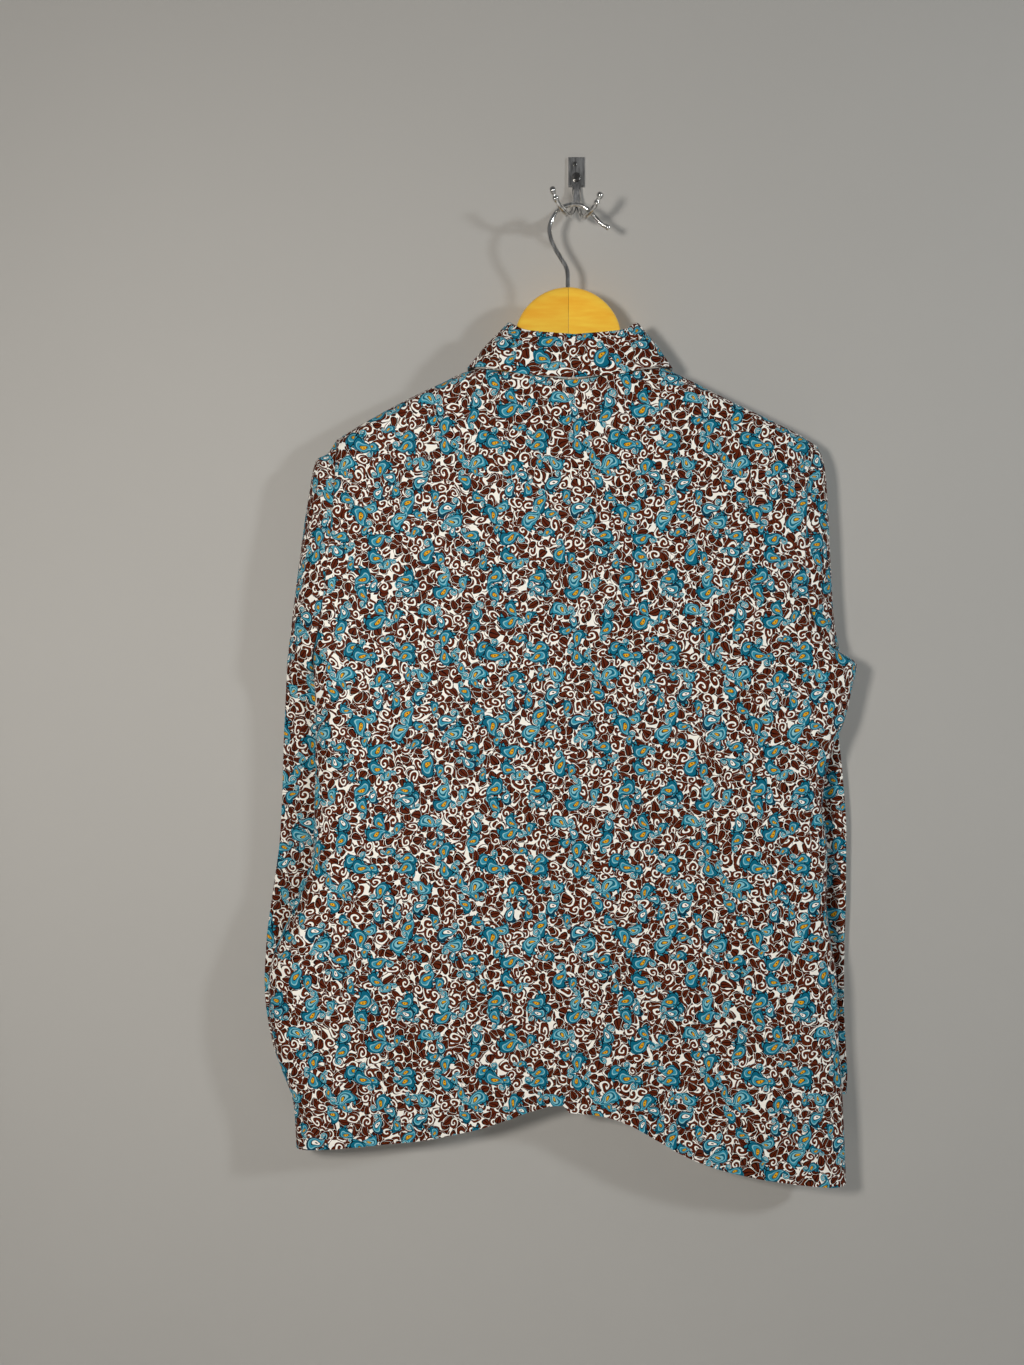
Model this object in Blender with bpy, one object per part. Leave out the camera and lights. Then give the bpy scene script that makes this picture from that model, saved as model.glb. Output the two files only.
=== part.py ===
"""Long-sleeve shirt on a wooden hanger, hung from a two-prong wall hook, shown from its back.

All tables are in millimetres. The wall is the plane y = 0, the viewer is on the -Y side and +Z is
up. The origin is the centre of the back face of the wall hook's plate.
"""
from math import acos, asin, cos, hypot, pi, sin, sqrt

import bmesh
import bpy
from mathutils import Vector

MM = 0.001

# cloth
CLOTH = 1.2         # wall of body and sleeves
BAND = 1.8          # wall of the collar stand and cuffs
SEAM = 0.3          # clearance between two sewn pieces
BODY_Y = -40.0      # middle plane of the body, between back and fronts
DEPTH = 18.0        # from that plane to the middle of either cloth
SHOULDER_BEND = 9.0  # how far the shoulder tips bend to the wall
SIDE_ROUND = 30.0   # width over which the body rounds to its side seam
TOP_ROUND = 14.0    # height over which the cloth rounds over the hanger
PLACKET_X = -8.0    # centre front
PLACKET = 16.0      # half width of the placket
LAP = 2.2           # how far the under front lies inside the upper one
NECK_X = -8.0       # middle of the neck seam
NECK_HALF = 92.0    # half width of the neck seam
NECK_DEPTH = 18.0   # half depth of the neck seam
NECK_STEPS = (0.0, 0.2, 0.42, 0.66, 0.85, 0.96, 1.0)   # places along half the neck seam

# body edge: height z, x; armhole above the armpit row, side seam below it
LEFT_ROWS = (
    (-270.1, -232.1), (-309.7, -232.5), (-348.3, -235.1), (-402.9, -239.9), (-448.8, -246.0),
    (-487.1, -253.0), (-540.2, -251.0), (-598.1, -252.0), (-646.4, -253.0), (-680.2, -255.9),
    (-709.2, -268.4), (-743.0, -282.9), (-767.2, -292.6), (-791.3, -296.4), (-820.3, -295.5),
    (-849.3, -290.6), (-873.4, -283.9), (-892.7, -276.2), (-907.2, -272.3), (-931.4, -270.4),
    (-955.5, -269.4))
RIGHT_ROWS = (
    (-276.0, 229.7), (-301.7, 220.8), (-348.3, 216.0), (-386.6, 214.1), (-424.9, 218.0),
    (-453.6, 226.1), (-470.8, 242.5), (-487.1, 265.7), (-511.2, 260.8), (-540.2, 254.1),
    (-560.5, 245.4), (-595.2, 235.7), (-624.2, 232.8), (-664.8, 237.7), (-712.1, 236.7),
    (-752.7, 241.5), (-788.4, 246.4), (-845.4, 248.3), (-902.4, 252.2), (-990.3, 256.0))
LEFT_EDGE = (LEFT_ROWS, -487.1)    # with the armpit's height
RIGHT_EDGE = (RIGHT_ROWS, -470.8)
HOLE_DEPTH = 17.0   # half depth of the armhole

# top and hem of a panel: x, z
SHOULDER_LEFT = (
    (-232.1, -270.1), (-210.7, -257.8), (-171.8, -236.9), (-133.2, -218.8), (-100.0, -206.0))
SHOULDER_RIGHT = (
    (84.0, -205.0), (90.5, -207.7), (137.1, -230.4), (175.9, -248.5), (214.9, -267.4),
    (229.7, -276.0))
NECK_BACK = (
    (-84.0, -208.0), (-60.0, -211.5), (-35.0, -215.5), (-8.0, -218.5), (19.0, -215.5),
    (45.0, -211.0), (68.0, -207.5))
NECK_FRONT = (
    (-88.0, -217.0), (-70.0, -233.0), (-45.0, -249.0), (-8.0, -262.0), (29.0, -249.0),
    (54.0, -232.0), (72.0, -216.0))
HEM = (
    (-270.0, -948.0), (-264.2, -947.2), (-216.9, -943.4), (-169.6, -938.7), (-131.8, -933.0),
    (-93.9, -925.4), (-65.6, -916.0), (-41.9, -907.5), (-18.3, -902.7), (-11.5, -902.7),
    (-9.0, -909.3), (19.6, -913.1), (48.0, -921.6), (71.6, -934.9), (95.3, -949.1),
    (123.6, -961.4), (152.0, -968.9), (189.9, -975.6), (227.7, -980.3), (248.5, -982.2),
    (256.0, -981.0))
FRONT_HEM_RISE = 6.0

# soft folds of the back: x, z at the upper end; x, z at the lower end; half width; height
FOLDS = (
    (-206.0, -500.0, -214.0, -740.0, 20.0, 4.0),
    (66.0, -500.0, 72.0, -760.0, 20.0, 4.0),
    (-118.0, -560.0, -150.0, -990.0, 28.0, 5.0),
    (150.0, -520.0, 178.0, -1010.0, 30.0, 5.0),
    (-20.0, -330.0, -40.0, -940.0, 45.0, 3.0),
    (-262.0, -640.0, -268.0, -840.0, 16.0, 4.0),
    (-150.0, -300.0, -222.0, -470.0, 18.0, 3.0),
    (132.0, -300.0, 214.0, -470.0, 18.0, 3.0))

# sleeve rows from shoulder tip to cuff: row, share of the way down the armhole; outer x, y, z;
# inner x, y, z, used below the armpit; half depth. The row at share 1.0 closes the tube.
SLEEVE_LEFT = (
    (0.0, 0.035, -232.4, -31.0, -270.1, -232.4, -31.0, -270.1, 0.0),
    (1.0, 0.126, -241.1, -29.2, -283.0, -235.0, -32.0, -300.0, 0.0),
    (2.0, 0.250, -252.0, -29.8, -289.5, -238.0, -34.0, -330.0, 0.0),
    (3.0, 0.413, -260.0, -28.0, -325.0, -242.0, -36.0, -360.0, 0.0),
    (4.0, 0.587, -266.5, -28.0, -370.0, -246.0, -38.0, -400.0, 1.0),
    (5.0, 0.750, -272.5, -27.0, -415.0, -249.0, -39.0, -430.0, 3.0),
    (6.0, 0.883, -277.0, -26.0, -452.0, -251.0, -40.0, -460.0, 6.0),
    (7.0, 0.970, -279.5, -25.5, -473.0, -253.0, -40.0, -480.0, 8.0),
    (8.0, 1.000, -281.0, -25.0, -486.0, -253.4, -40.0, -487.1, 9.0),
    (9.0, 1.000, -282.0, -23.0, -500.0, -254.5, -29.0, -494.0, 9.5),
    (10.0, 1.000, -283.0, -21.5, -517.0, -246.0, -20.0, -507.0, 9.0),
    (11.0, 1.000, -284.5, -20.0, -540.0, -226.0, -15.0, -527.0, 7.5),
    (12.0, 1.000, -286.0, -18.5, -570.0, -190.0, -12.5, -558.0, 6.5),
    (13.0, 1.000, -287.5, -17.0, -610.0, -152.0, -11.0, -600.0, 5.5),
    (14.0, 1.000, -290.0, -15.5, -655.0, -126.0, -11.0, -650.0, 5.0),
    (15.0, 1.000, -297.0, -13.0, -705.0, -118.0, -11.0, -705.0, 5.0),
    (16.0, 1.000, -304.0, -11.5, -757.0, -124.0, -11.0, -757.0, 5.0),
    (17.0, 1.000, -306.0, -11.0, -798.0, -140.0, -11.0, -800.0, 4.5),
    (18.0, 1.000, -304.5, -11.0, -822.0, -162.0, -11.0, -825.0, 4.5),
    (19.0, 1.000, -302.0, -11.0, -837.5, -178.0, -11.0, -840.0, 4.5))
SLEEVE_RIGHT = (
    (0.0, 0.030, 230.0, -31.0, -276.0, 230.0, -31.0, -276.0, 0.0),
    (1.0, 0.117, 235.0, -29.5, -286.0, 231.0, -32.0, -300.0, 0.0),
    (2.0, 0.250, 238.5, -29.0, -301.0, 232.0, -34.0, -325.0, 0.0),
    (3.0, 0.413, 241.0, -28.5, -333.0, 234.0, -36.0, -357.0, 0.0),
    (4.0, 0.587, 243.0, -28.0, -372.0, 236.0, -38.0, -390.0, 1.0),
    (5.0, 0.750, 245.0, -27.5, -410.0, 238.0, -39.0, -422.0, 2.5),
    (6.0, 0.883, 247.0, -27.0, -440.0, 240.0, -40.0, -448.0, 4.4),
    (7.0, 0.959, 250.0, -25.8, -459.0, 242.0, -40.0, -465.0, 3.4),
    (8.0, 1.000, 252.1, -24.8, -467.0, 242.9, -40.0, -470.8, 4.3),
    (9.0, 1.000, 254.5, -19.4, -475.2, 245.5, -29.2, -470.8, 3.8),
    (10.0, 1.000, 254.5, -19.0, -488.0, 245.0, -20.5, -476.0, 4.5),
    (11.0, 1.000, 254.5, -18.0, -505.0, 238.0, -17.0, -489.0, 5.0),
    (12.0, 1.000, 253.0, -17.5, -530.0, 216.0, -14.0, -512.0, 6.0),
    (13.0, 1.000, 255.5, -16.0, -560.0, 180.0, -11.5, -545.0, 5.5),
    (14.0, 1.000, 260.0, -14.0, -602.0, 142.0, -11.0, -590.0, 5.5),
    (15.0, 1.000, 263.5, -12.5, -652.0, 112.0, -11.0, -645.0, 5.0),
    (16.0, 1.000, 263.5, -11.5, -708.0, 100.0, -11.0, -705.0, 5.0),
    (17.0, 1.000, 262.0, -11.0, -765.0, 104.0, -11.0, -765.0, 4.5),
    (18.0, 1.000, 261.5, -11.0, -813.0, 120.0, -11.0, -815.0, 4.5),
    (19.0, 1.000, 262.5, -11.0, -845.0, 142.0, -11.0, -847.5, 4.5))
ARMPIT_ROW = 8
CUFF_LEFT = (
    (0.0, 1.0, -302.0, -11.0, -837.9, -178.0, -11.0, -840.4, 4.5),
    (1.0, 1.0, -297.0, -11.0, -860.0, -172.0, -11.0, -862.0, 4.5),
    (2.0, 1.0, -288.7, -11.0, -882.7, -168.0, -11.0, -885.0, 4.6),
    (3.0, 1.0, -281.0, -11.0, -897.5, -165.0, -11.0, -900.0, 4.8))
CUFF_RIGHT = (
    (0.0, 1.0, 262.5, -11.0, -845.4, 142.0, -11.0, -847.9, 4.5),
    (1.0, 1.0, 263.3, -11.0, -867.0, 143.0, -11.0, -869.0, 4.5),
    (2.0, 1.0, 264.5, -11.0, -888.0, 145.0, -11.0, -890.0, 4.6),
    (3.0, 1.0, 263.5, -11.0, -907.0, 146.0, -11.0, -909.5, 4.8))
# places around a sleeve: -1 and 1 at the inner fold or seam, 0 at the outer fold, minus in front
AROUND = (-1.0, -0.9, -0.75, -0.6, -0.44, -0.28, -0.12, 0.0, 0.12, 0.28, 0.44, 0.6, 0.75, 0.9,
          1.0)
SLEEVE_BACK_LIMIT = -3.0   # nearest the wall that sleeve cloth may lie

# collar, by turn from the centre back (0) to the centre front (1): turn, left side x, right side x
FOLD_X = -5.5
FOLD_HALF = 60.5
FOLD_Z = ((0.0, -178.0), (0.25, -173.5), (0.42, -165.0), (0.5, -162.5), (0.6, -166.0),
          (0.8, -192.0), (1.0, -222.0))
# lower edge of the fall: turn, left x, right x, y, z
FALL_EDGE = (
    (0.00, -9.0, -7.0, -62.6, -217.0),
    (0.18, -56.0, 38.0, -61.6, -213.0),
    (0.36, -90.0, 68.0, -56.0, -205.5),
    (0.50, -106.0, 89.5, -42.0, -203.5),
    (0.57, -106.0, 90.0, -31.5, -204.0),
    (0.64, -104.0, 88.0, -20.5, -209.5),
    (0.72, -97.0, 81.0, -17.8, -223.0),
    (0.82, -85.0, 70.0, -16.6, -246.0),
    (1.00, -64.0, 48.0, -15.8, -292.0))
# section of the fall: share of the way down, how far out, how far up
FALL_SECTION = (
    (0.0, -0.6, 2.1), (0.0, 1.6, 1.9), (0.03, 2.7, 0.6), (0.2, 3.2, 0.0), (0.5, 3.4, 0.0),
    (1.0, 0.0, 0.0))

# hanger: distance from the middle, top z, bottom z, half thickness
HANGER_X = -10.0
HANGER_Y = -41.5
HANGER_BEND = 8.5
HANGER_REACH = 205.0
DOME_Z = -177.5
DOME_R = 51.5
DOME_TURNS = (0.0, 15.0, 30.0, 45.0, 58.0, 70.0)
DOME_BOTTOM = -200.0
HANGER_ARM = (
    (51.4, -172.0, -212.0, 6.0),
    (54.0, -185.0, -216.0, 6.0),
    (62.0, -198.0, -222.0, 6.0),
    (72.0, -206.0, -229.0, 5.8),
    (88.0, -213.0, -238.0, 5.6),
    (120.0, -222.6, -250.0, 5.6),
    (155.0, -236.0, -262.0, 5.2),
    (185.0, -250.5, -272.0, 4.6),
    (199.0, -258.5, -275.0, 3.6),
    (205.0, -263.5, -272.5, 1.8))
# the wire of the hanger's hook: x, z of its centreline
WIRE = (
    (-10.3, -150.0), (-10.3, -126.0), (-10.3, -114.6), (-11.9, -106.9), (-16.7, -98.3),
    (-22.5, -88.7), (-26.3, -80.1), (-27.8, -71.5), (-26.3, -62.8), (-21.5, -54.2),
    (-14.8, -49.0), (-7.2, -46.6), (-0.5, -46.6), (6.3, -49.4), (12.0, -54.2),
    (16.8, -60.0), (21.6, -64.8), (26.4, -67.6))
WIRE_R = 2.25
WIRE_TIP_R = 2.9

# wall hook
PLATE = (16.0, 3.2, 29.6)
PLATE_Z = 0.4
STEM = (8.4, 6.5, 21.0)
STEM_Z = -22.0
# a prong: x, y, z of its centreline and its radius
PRONG_LEFT = (
    (-1.0, -4.5, -19.0, 2.6), (-2.5, -9.0, -33.0, 3.0), (-5.5, -20.0, -46.5, 3.1),
    (-9.0, -32.0, -53.0, 3.0), (-12.5, -42.0, -54.6, 2.9), (-18.0, -50.5, -51.6, 2.7),
    (-21.4, -54.6, -47.8, 2.5), (-22.0, -55.2, -47.0, 3.3), (-23.0, -56.2, -45.4, 3.3),
    (-23.6, -56.8, -44.4, 2.2), (-24.2, -57.6, -42.6, 2.2), (-24.9, -58.3, -41.0, 3.1),
    (-25.5, -58.9, -39.2, 3.3), (-26.0, -59.5, -37.4, 2.5), (-26.3, -59.8, -36.5, 1.1))
PRONG_RIGHT = (
    (1.0, -4.5, -19.0, 2.6), (2.0, -9.0, -33.0, 3.0), (3.5, -20.0, -47.5, 3.1),
    (5.2, -32.0, -55.4, 3.0), (7.0, -42.0, -57.5, 2.8), (12.4, -50.5, -54.8, 2.7),
    (15.6, -54.6, -51.6, 2.5), (16.1, -55.2, -50.8, 3.3), (17.0, -56.2, -49.4, 3.3),
    (17.5, -56.8, -48.4, 2.2), (18.2, -57.6, -47.0, 2.2), (18.9, -58.3, -45.6, 3.1),
    (19.5, -58.9, -44.0, 3.3), (20.0, -59.5, -42.4, 2.5), (20.3, -59.8, -41.6, 1.1))
# screw: x, z, radius, height of its head, width of its slot
SCREWS = {
    "wall_screw_upper": (-1.5, 8.0, 2.1, 0.8, 0.0),
    "wall_screw_lower": (-0.4, -5.2, 4.4, 1.9, 1.1),
}

# buttons down the front: z of each; and one at each cuff: x, z
FRONT_BUTTONS = (-330.0, -425.0, -520.0, -615.0, -710.0, -805.0)
CUFF_BUTTONS = {"button_cuff_left": (-231.0, -870.0), "button_cuff_right": (204.0, -878.0)}
BUTTON_R = 5.5
BUTTON_T = 1.8

FABRIC_LOOK = (0.62, 0.57, 0.52, 1.0)
LOOKS = {
    "back": FABRIC_LOOK,
    "front_left": (0.60, 0.56, 0.51, 1.0),
    "front_right": (0.58, 0.54, 0.50, 1.0),
    "collar_stand": (0.64, 0.60, 0.55, 1.0),
    "collar_fall": (0.66, 0.61, 0.55, 1.0),
    "sleeve_left": (0.56, 0.52, 0.48, 1.0),
    "sleeve_right": (0.57, 0.53, 0.49, 1.0),
    "cuff_left": (0.54, 0.50, 0.46, 1.0),
    "cuff_right": (0.55, 0.51, 0.47, 1.0),
    "hanger_arm_left": (0.78, 0.50, 0.16, 1.0),
    "hanger_arm_right": (0.84, 0.56, 0.20, 1.0),
}
CHROME_LOOK = (0.75, 0.77, 0.80, 1.0)
BUTTON_LOOK = (0.80, 0.78, 0.72, 1.0)


def row_at(table, q):
    """All values of a table's row at position q, smooth and without overshoot."""
    rows = table if table[0][0] < table[-1][0] else table[::-1]
    if q <= rows[0][0]:
        return rows[0][1:]
    if q >= rows[-1][0]:
        return rows[-1][1:]
    i = max(k for k in range(len(rows) - 1) if rows[k][0] <= q)
    span = rows[i + 1][0] - rows[i][0]
    f = (q - rows[i][0]) / span
    out = []
    for c in range(1, len(rows[0])):
        rise = [(rows[k + 1][c] - rows[k][c]) / (rows[k + 1][0] - rows[k][0])
                for k in range(max(i - 1, 0), min(i + 2, len(rows) - 1))]
        here = rise[1] if i > 0 else rise[0]
        before = rise[0]
        after = rise[-1]
        m0 = 2 * before * here / (before + here) if before * here > 0 else 0.0
        m1 = 2 * after * here / (after + here) if after * here > 0 else 0.0
        if i == 0:
            m0 = here
        if i == len(rows) - 2:
            m1 = here
        out.append(rows[i][c] * (1 + 2 * f) * (1 - f) ** 2 + m0 * span * f * (1 - f) ** 2
                   + rows[i + 1][c] * f * f * (3 - 2 * f) + m1 * span * f * f * (f - 1))
    return tuple(out)


def value_at(table, q):
    """The first value of a table at position q."""
    return row_at(table, q)[0]


def blend(a, b, f):
    """The value a share f of the way from a to b."""
    return a + (b - a) * f


def step(f):
    """Smooth rise from 0 to 1."""
    f = min(max(f, 0.0), 1.0)
    return f * f * (3 - 2 * f)


def quarter(f):
    """A quarter circle's rise from 0 to 1."""
    f = min(max(f, 0.0), 1.0)
    return sqrt(1 - (1 - f) ** 2)


def flat_round(f):
    """Depth of a flattened ring at a share f of its half width."""
    return max(0.0, 1 - abs(f) ** 3) ** (1 / 3)


TOP_BACK = SHOULDER_LEFT + NECK_BACK + SHOULDER_RIGHT
TOP_FRONT = SHOULDER_LEFT + NECK_FRONT + SHOULDER_RIGHT


def middle_y(x, z):
    """The plane halfway between back and fronts; the shoulders bend to the wall."""
    fade = 1 - step((-280.0 - z) / 190.0)
    return BODY_Y + SHOULDER_BEND * min(1.0, (x - NECK_X) ** 2 / 225.0 ** 2) * fade


def edge_x(edge, z):
    """The body edge's x at height z."""
    return value_at(edge[0], z)


def hole_half(z, edge):
    """Half depth of an armhole at height z."""
    top = edge[0][0][0]
    place = (z - (top + edge[1]) / 2) / ((top - edge[1]) / 2)
    return HOLE_DEPTH * sqrt(max(0.0, 1 - place * place))


def neck_half(x):
    """Half depth of the neck seam at x."""
    return NECK_DEPTH * flat_round((x - NECK_X) / NECK_HALF)


def half_depth(x, z, top):
    """Half depth of the body at x, z."""
    gap_left = x - edge_x(LEFT_EDGE, z)
    gap_right = edge_x(RIGHT_EDGE, z) - x
    if gap_left < gap_right:
        gap = gap_left
        hole = hole_half(z, LEFT_EDGE)
    else:
        gap = gap_right
        hole = hole_half(z, RIGHT_EDGE)
    upper = blend(neck_half(x), DEPTH, quarter((value_at(top, x) - z) / TOP_ROUND))
    return blend(hole, upper, quarter(gap / SIDE_ROUND))


def folds(x, z):
    """How far the back's soft folds stand out at x, z."""
    gap = min(x - edge_x(LEFT_EDGE, z), edge_x(RIGHT_EDGE, z) - x)
    total = 0.0
    for x0, z0, x1, z1, width, height in FOLDS:
        f = (z0 - z) / (z0 - z1)
        if 0.0 < f < 1.0:
            off = (x - blend(x0, x1, f)) / width
            total += height * step(min(f, 1 - f) * 4) * 2.718 ** (-off * off)
    return total * step(gap / 24.0) * step((-225.0 - z) / 40.0)


def back_y(x, z):
    """Middle of the back's cloth."""
    return middle_y(x, z) - half_depth(x, z, TOP_BACK) - folds(x, z) - SEAM / 2


def front_y(x, z):
    """Middle of the fronts' cloth."""
    return middle_y(x, z) + half_depth(x, z, TOP_FRONT) + SEAM / 2


def look(name, colour, roughness, metallic=0.0):
    """A material with one plain colour."""
    mat = bpy.data.materials.new(name)
    mat.use_nodes = True
    shader = mat.node_tree.nodes["Principled BSDF"]
    shader.inputs["Base Color"].default_value = colour
    shader.inputs["Roughness"].default_value = roughness
    shader.inputs["Metallic"].default_value = metallic
    mat.diffuse_color = colour
    return mat


def solid(name, points, faces, mat):
    """An object from points in millimetres and faces, turned outward."""
    mesh = bpy.data.meshes.new(name)
    mesh.from_pydata([tuple(c * MM for c in p) for p in points], [], faces)
    mesh.materials.append(mat)
    work = bmesh.new()
    work.from_mesh(mesh)
    bmesh.ops.remove_doubles(work, verts=work.verts, dist=0.01 * MM)
    bmesh.ops.recalc_face_normals(work, faces=work.faces)
    bmesh.ops.triangulate(work, faces=work.faces)
    work.to_mesh(mesh)
    work.free()
    obj = bpy.data.objects.new(name, mesh)
    bpy.context.scene.collection.objects.link(obj)
    return obj


def normals(grid, closed_from):
    """Unit normals of a grid of points; rows from closed_from on meet themselves."""
    rows = len(grid)
    cols = len(grid[0])
    out = []
    for j in range(rows):
        line = []
        above = grid[max(j - 1, 0)]
        below = grid[min(j + 1, rows - 1)]
        for i in range(cols):
            before = max(i - 1, 0)
            after = min(i + 1, cols - 1)
            down = below[i] - above[i]
            if j >= closed_from and i in (0, cols - 1):
                before = cols - 2
                after = 1
                down = below[0] - above[0] + below[-1] - above[-1]
            along = grid[j][after] - grid[j][before]
            line.append(along.cross(down).normalized())
        out.append(line)
    return out


def cloth(name, grid, wall, mat, closed_from=None, seam=None):
    """A thin solid on both sides of a grid of points.

    Rows from closed_from on are rings whose first and last points are one. seam(j, i, point) gives
    the direction that a rim faces, or nothing away from seams.
    """
    grid = [[Vector(p) for p in line] for line in grid]
    rows = len(grid)
    cols = len(grid[0])
    closed_from = rows if closed_from is None else closed_from
    out = normals(grid, closed_from)
    for j in range(rows):
        for i in range(cols):
            facing = seam(j, i, grid[j][i]) if seam else None
            if facing:
                facing = Vector(facing).normalized()
                out[j][i] = (out[j][i] - facing * out[j][i].dot(facing)).normalized()
    points = []
    for side in (0.5, -0.5):
        for j in range(rows):
            for i in range(cols):
                points.append(grid[j][i] + out[j][i] * wall * side)
    faces = []
    half = rows * cols
    for j in range(rows - 1):
        for i in range(cols - 1):
            a, b = j * cols + i, j * cols + i + 1
            c, d = b + cols, a + cols
            faces.append((a, b, c, d))
            faces.append((half + d, half + c, half + b, half + a))
    for j in (0, rows - 1):
        for i in range(cols - 1):
            a, b = j * cols + i, j * cols + i + 1
            faces.append((a, b, half + b, half + a))
    for j in range(min(rows - 1, closed_from)):
        for i in (0, cols - 1):
            a, b = j * cols + i, (j + 1) * cols + i
            faces.append((a, b, half + b, half + a))
    return solid(name, points, faces, mat)


def tube(name, rings, mat):
    """A closed solid through rings of points, capped at both ends."""
    count = len(rings[0])
    points = [p for ring in rings for p in ring]
    faces = [tuple(range(count)), tuple(range(len(points) - count, len(points)))]
    for j in range(len(rings) - 1):
        for i in range(count):
            k = (i + 1) % count
            faces.append((j * count + i, j * count + k, (j + 1) * count + k, (j + 1) * count + i))
    return solid(name, points, faces, mat)


def rod_rings(path, sides, up):
    """Rings of a round rod; each path row is x, y, z, radius."""
    rings = []
    for n, row in enumerate(path):
        before = Vector(path[max(n - 1, 0)][:3])
        after = Vector(path[min(n + 1, len(path) - 1)][:3])
        ahead = (after - before).normalized()
        across = ahead.cross(Vector(up)).normalized()
        over = across.cross(ahead)
        centre = Vector(row[:3])
        rings.append([centre + (across * cos(2 * pi * i / sides)
                                + over * sin(2 * pi * i / sides)) * row[3]
                      for i in range(sides)])
    return rings


def spaced(first, last, count):
    """Evenly spaced values, both ends included."""
    return [blend(first, last, k / (count - 1)) for k in range(count)]


EDGE_STEPS = (0.0, 0.8, 3.2, 8.0, 16.0, 30.0)
TOP_STEPS = (0.0, 1.0, 3.6, 8.0, 14.0)
# shares of the way down; the first eight meet the rings of the right armhole
ROWS = (0.0127, 0.0501, 0.096, 0.145, 0.1909, 0.2283, 0.2528, 0.2613, 0.2848, 0.33, 0.39, 0.45,
        0.51, 0.57, 0.63, 0.69, 0.75, 0.81, 0.87, 0.93, 1.0)


def panel(top, hem_rise, left, right, middles, depth):
    """Grid of a body panel between two edges.

    left and right give each edge's x at a height and whether it rounds to a side seam;
    middles are the x of the columns between them, at the shoulder.
    """
    inset_left = EDGE_STEPS[-1] if left[1] else 0.0
    inset_right = EDGE_STEPS[-1] if right[1] else 0.0
    first = left[0](-262.0) + inset_left
    last = right[0](-262.0) - inset_right
    columns = []
    for s in EDGE_STEPS if left[1] else (0.0,):
        columns.append(("left", s))
    for x in middles:
        columns.append(("middle", (x - first) / (last - first)))
    for s in reversed(EDGE_STEPS) if right[1] else (0.0,):
        columns.append(("right", s))

    def place(kind, amount, z):
        x0 = left[0](z)
        x1 = right[0](z)
        if kind == "left":
            return x0 + amount
        if kind == "right":
            return x1 - amount
        return blend(x0 + inset_left, x1 - inset_right, amount)

    grid = []
    downs = [("top", t) for t in TOP_STEPS]
    downs += [("share", f) for f in ROWS]
    for how, amount in downs:
        line = []
        for kind, share in columns:
            z_top = value_at(top, place(kind, share, -262.0))
            z_hem = value_at(HEM, place(kind, share, -940.0))
            if how == "top":
                z = z_top - amount
            else:
                z = blend(z_top - TOP_STEPS[-1], z_hem, amount) + hem_rise * amount ** 3
            x = place(kind, share, z)
            line.append((x, depth(x, z), z))
        grid.append(line)
    return grid


def left_x(z):
    """Left edge of the body."""
    return edge_x(LEFT_EDGE, z)


def right_x(z):
    """Right edge of the body."""
    return edge_x(RIGHT_EDGE, z)


def lap_left(z):
    """Inner edge of the upper front."""
    return PLACKET_X + PLACKET


def lap_right(z):
    """Inner edge of the under front."""
    return PLACKET_X - PLACKET


def under_y(x, z):
    """Middle of the under front's cloth; it steps in beneath the placket."""
    return front_y(x, z) - LAP * (1 - step((x - PLACKET_X - PLACKET) / 18.0))


def edge_facing(z, edge):
    """Direction that the armhole seam faces at height z."""
    slope = (edge_x(edge, z - 2.0) - edge_x(edge, z + 2.0)) / -4.0
    return 1.0, 0.0, -slope


def panel_seam(top, sides, last):
    """Rim directions of a body panel whose side columns are given."""
    def facing(j, i, point):
        if i in (0, last) and sides[0 if i == 0 else 1]:
            edge = LEFT_EDGE if i == 0 else RIGHT_EDGE
            if point.z > edge[1] and j > 0:
                return edge_facing(point.z, edge)
            return 0.0, 1.0, 0.0
        if j == 0 and abs(point.x - NECK_X) < NECK_HALF - 0.1:
            rise = value_at(top, point.x + 1.0) - value_at(top, point.x - 1.0)
            return -rise / 2, 0.0, 1.0
        if j == 0:
            return 0.0, 1.0, 0.0
        return None
    return facing


def armhole(w, edge, side):
    """Point of the armhole seam at share w from shoulder tip to armpit."""
    z = blend(edge[0][0][0], edge[1], w)
    x = edge_x(edge, z)
    gap = (SEAM + 0.1) * hypot(1.0, edge_facing(z, edge)[2]) + 1.2 * step((w - 0.8) / 0.2)
    return x + side * gap, middle_y(x, z), z


def clear_y(x, z, edge, side):
    """How far to the wall a sleeve must lie to pass behind the front at x, z."""
    inside = side * (edge_x(edge, z) - x) + 1.5
    held = max(inside, 0.0)
    depth = front_y(edge_x(edge, z) - side * held, z)
    return depth + 2 * CLOTH + 0.6 - 10.0 * max(0.0, -inside)


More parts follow.
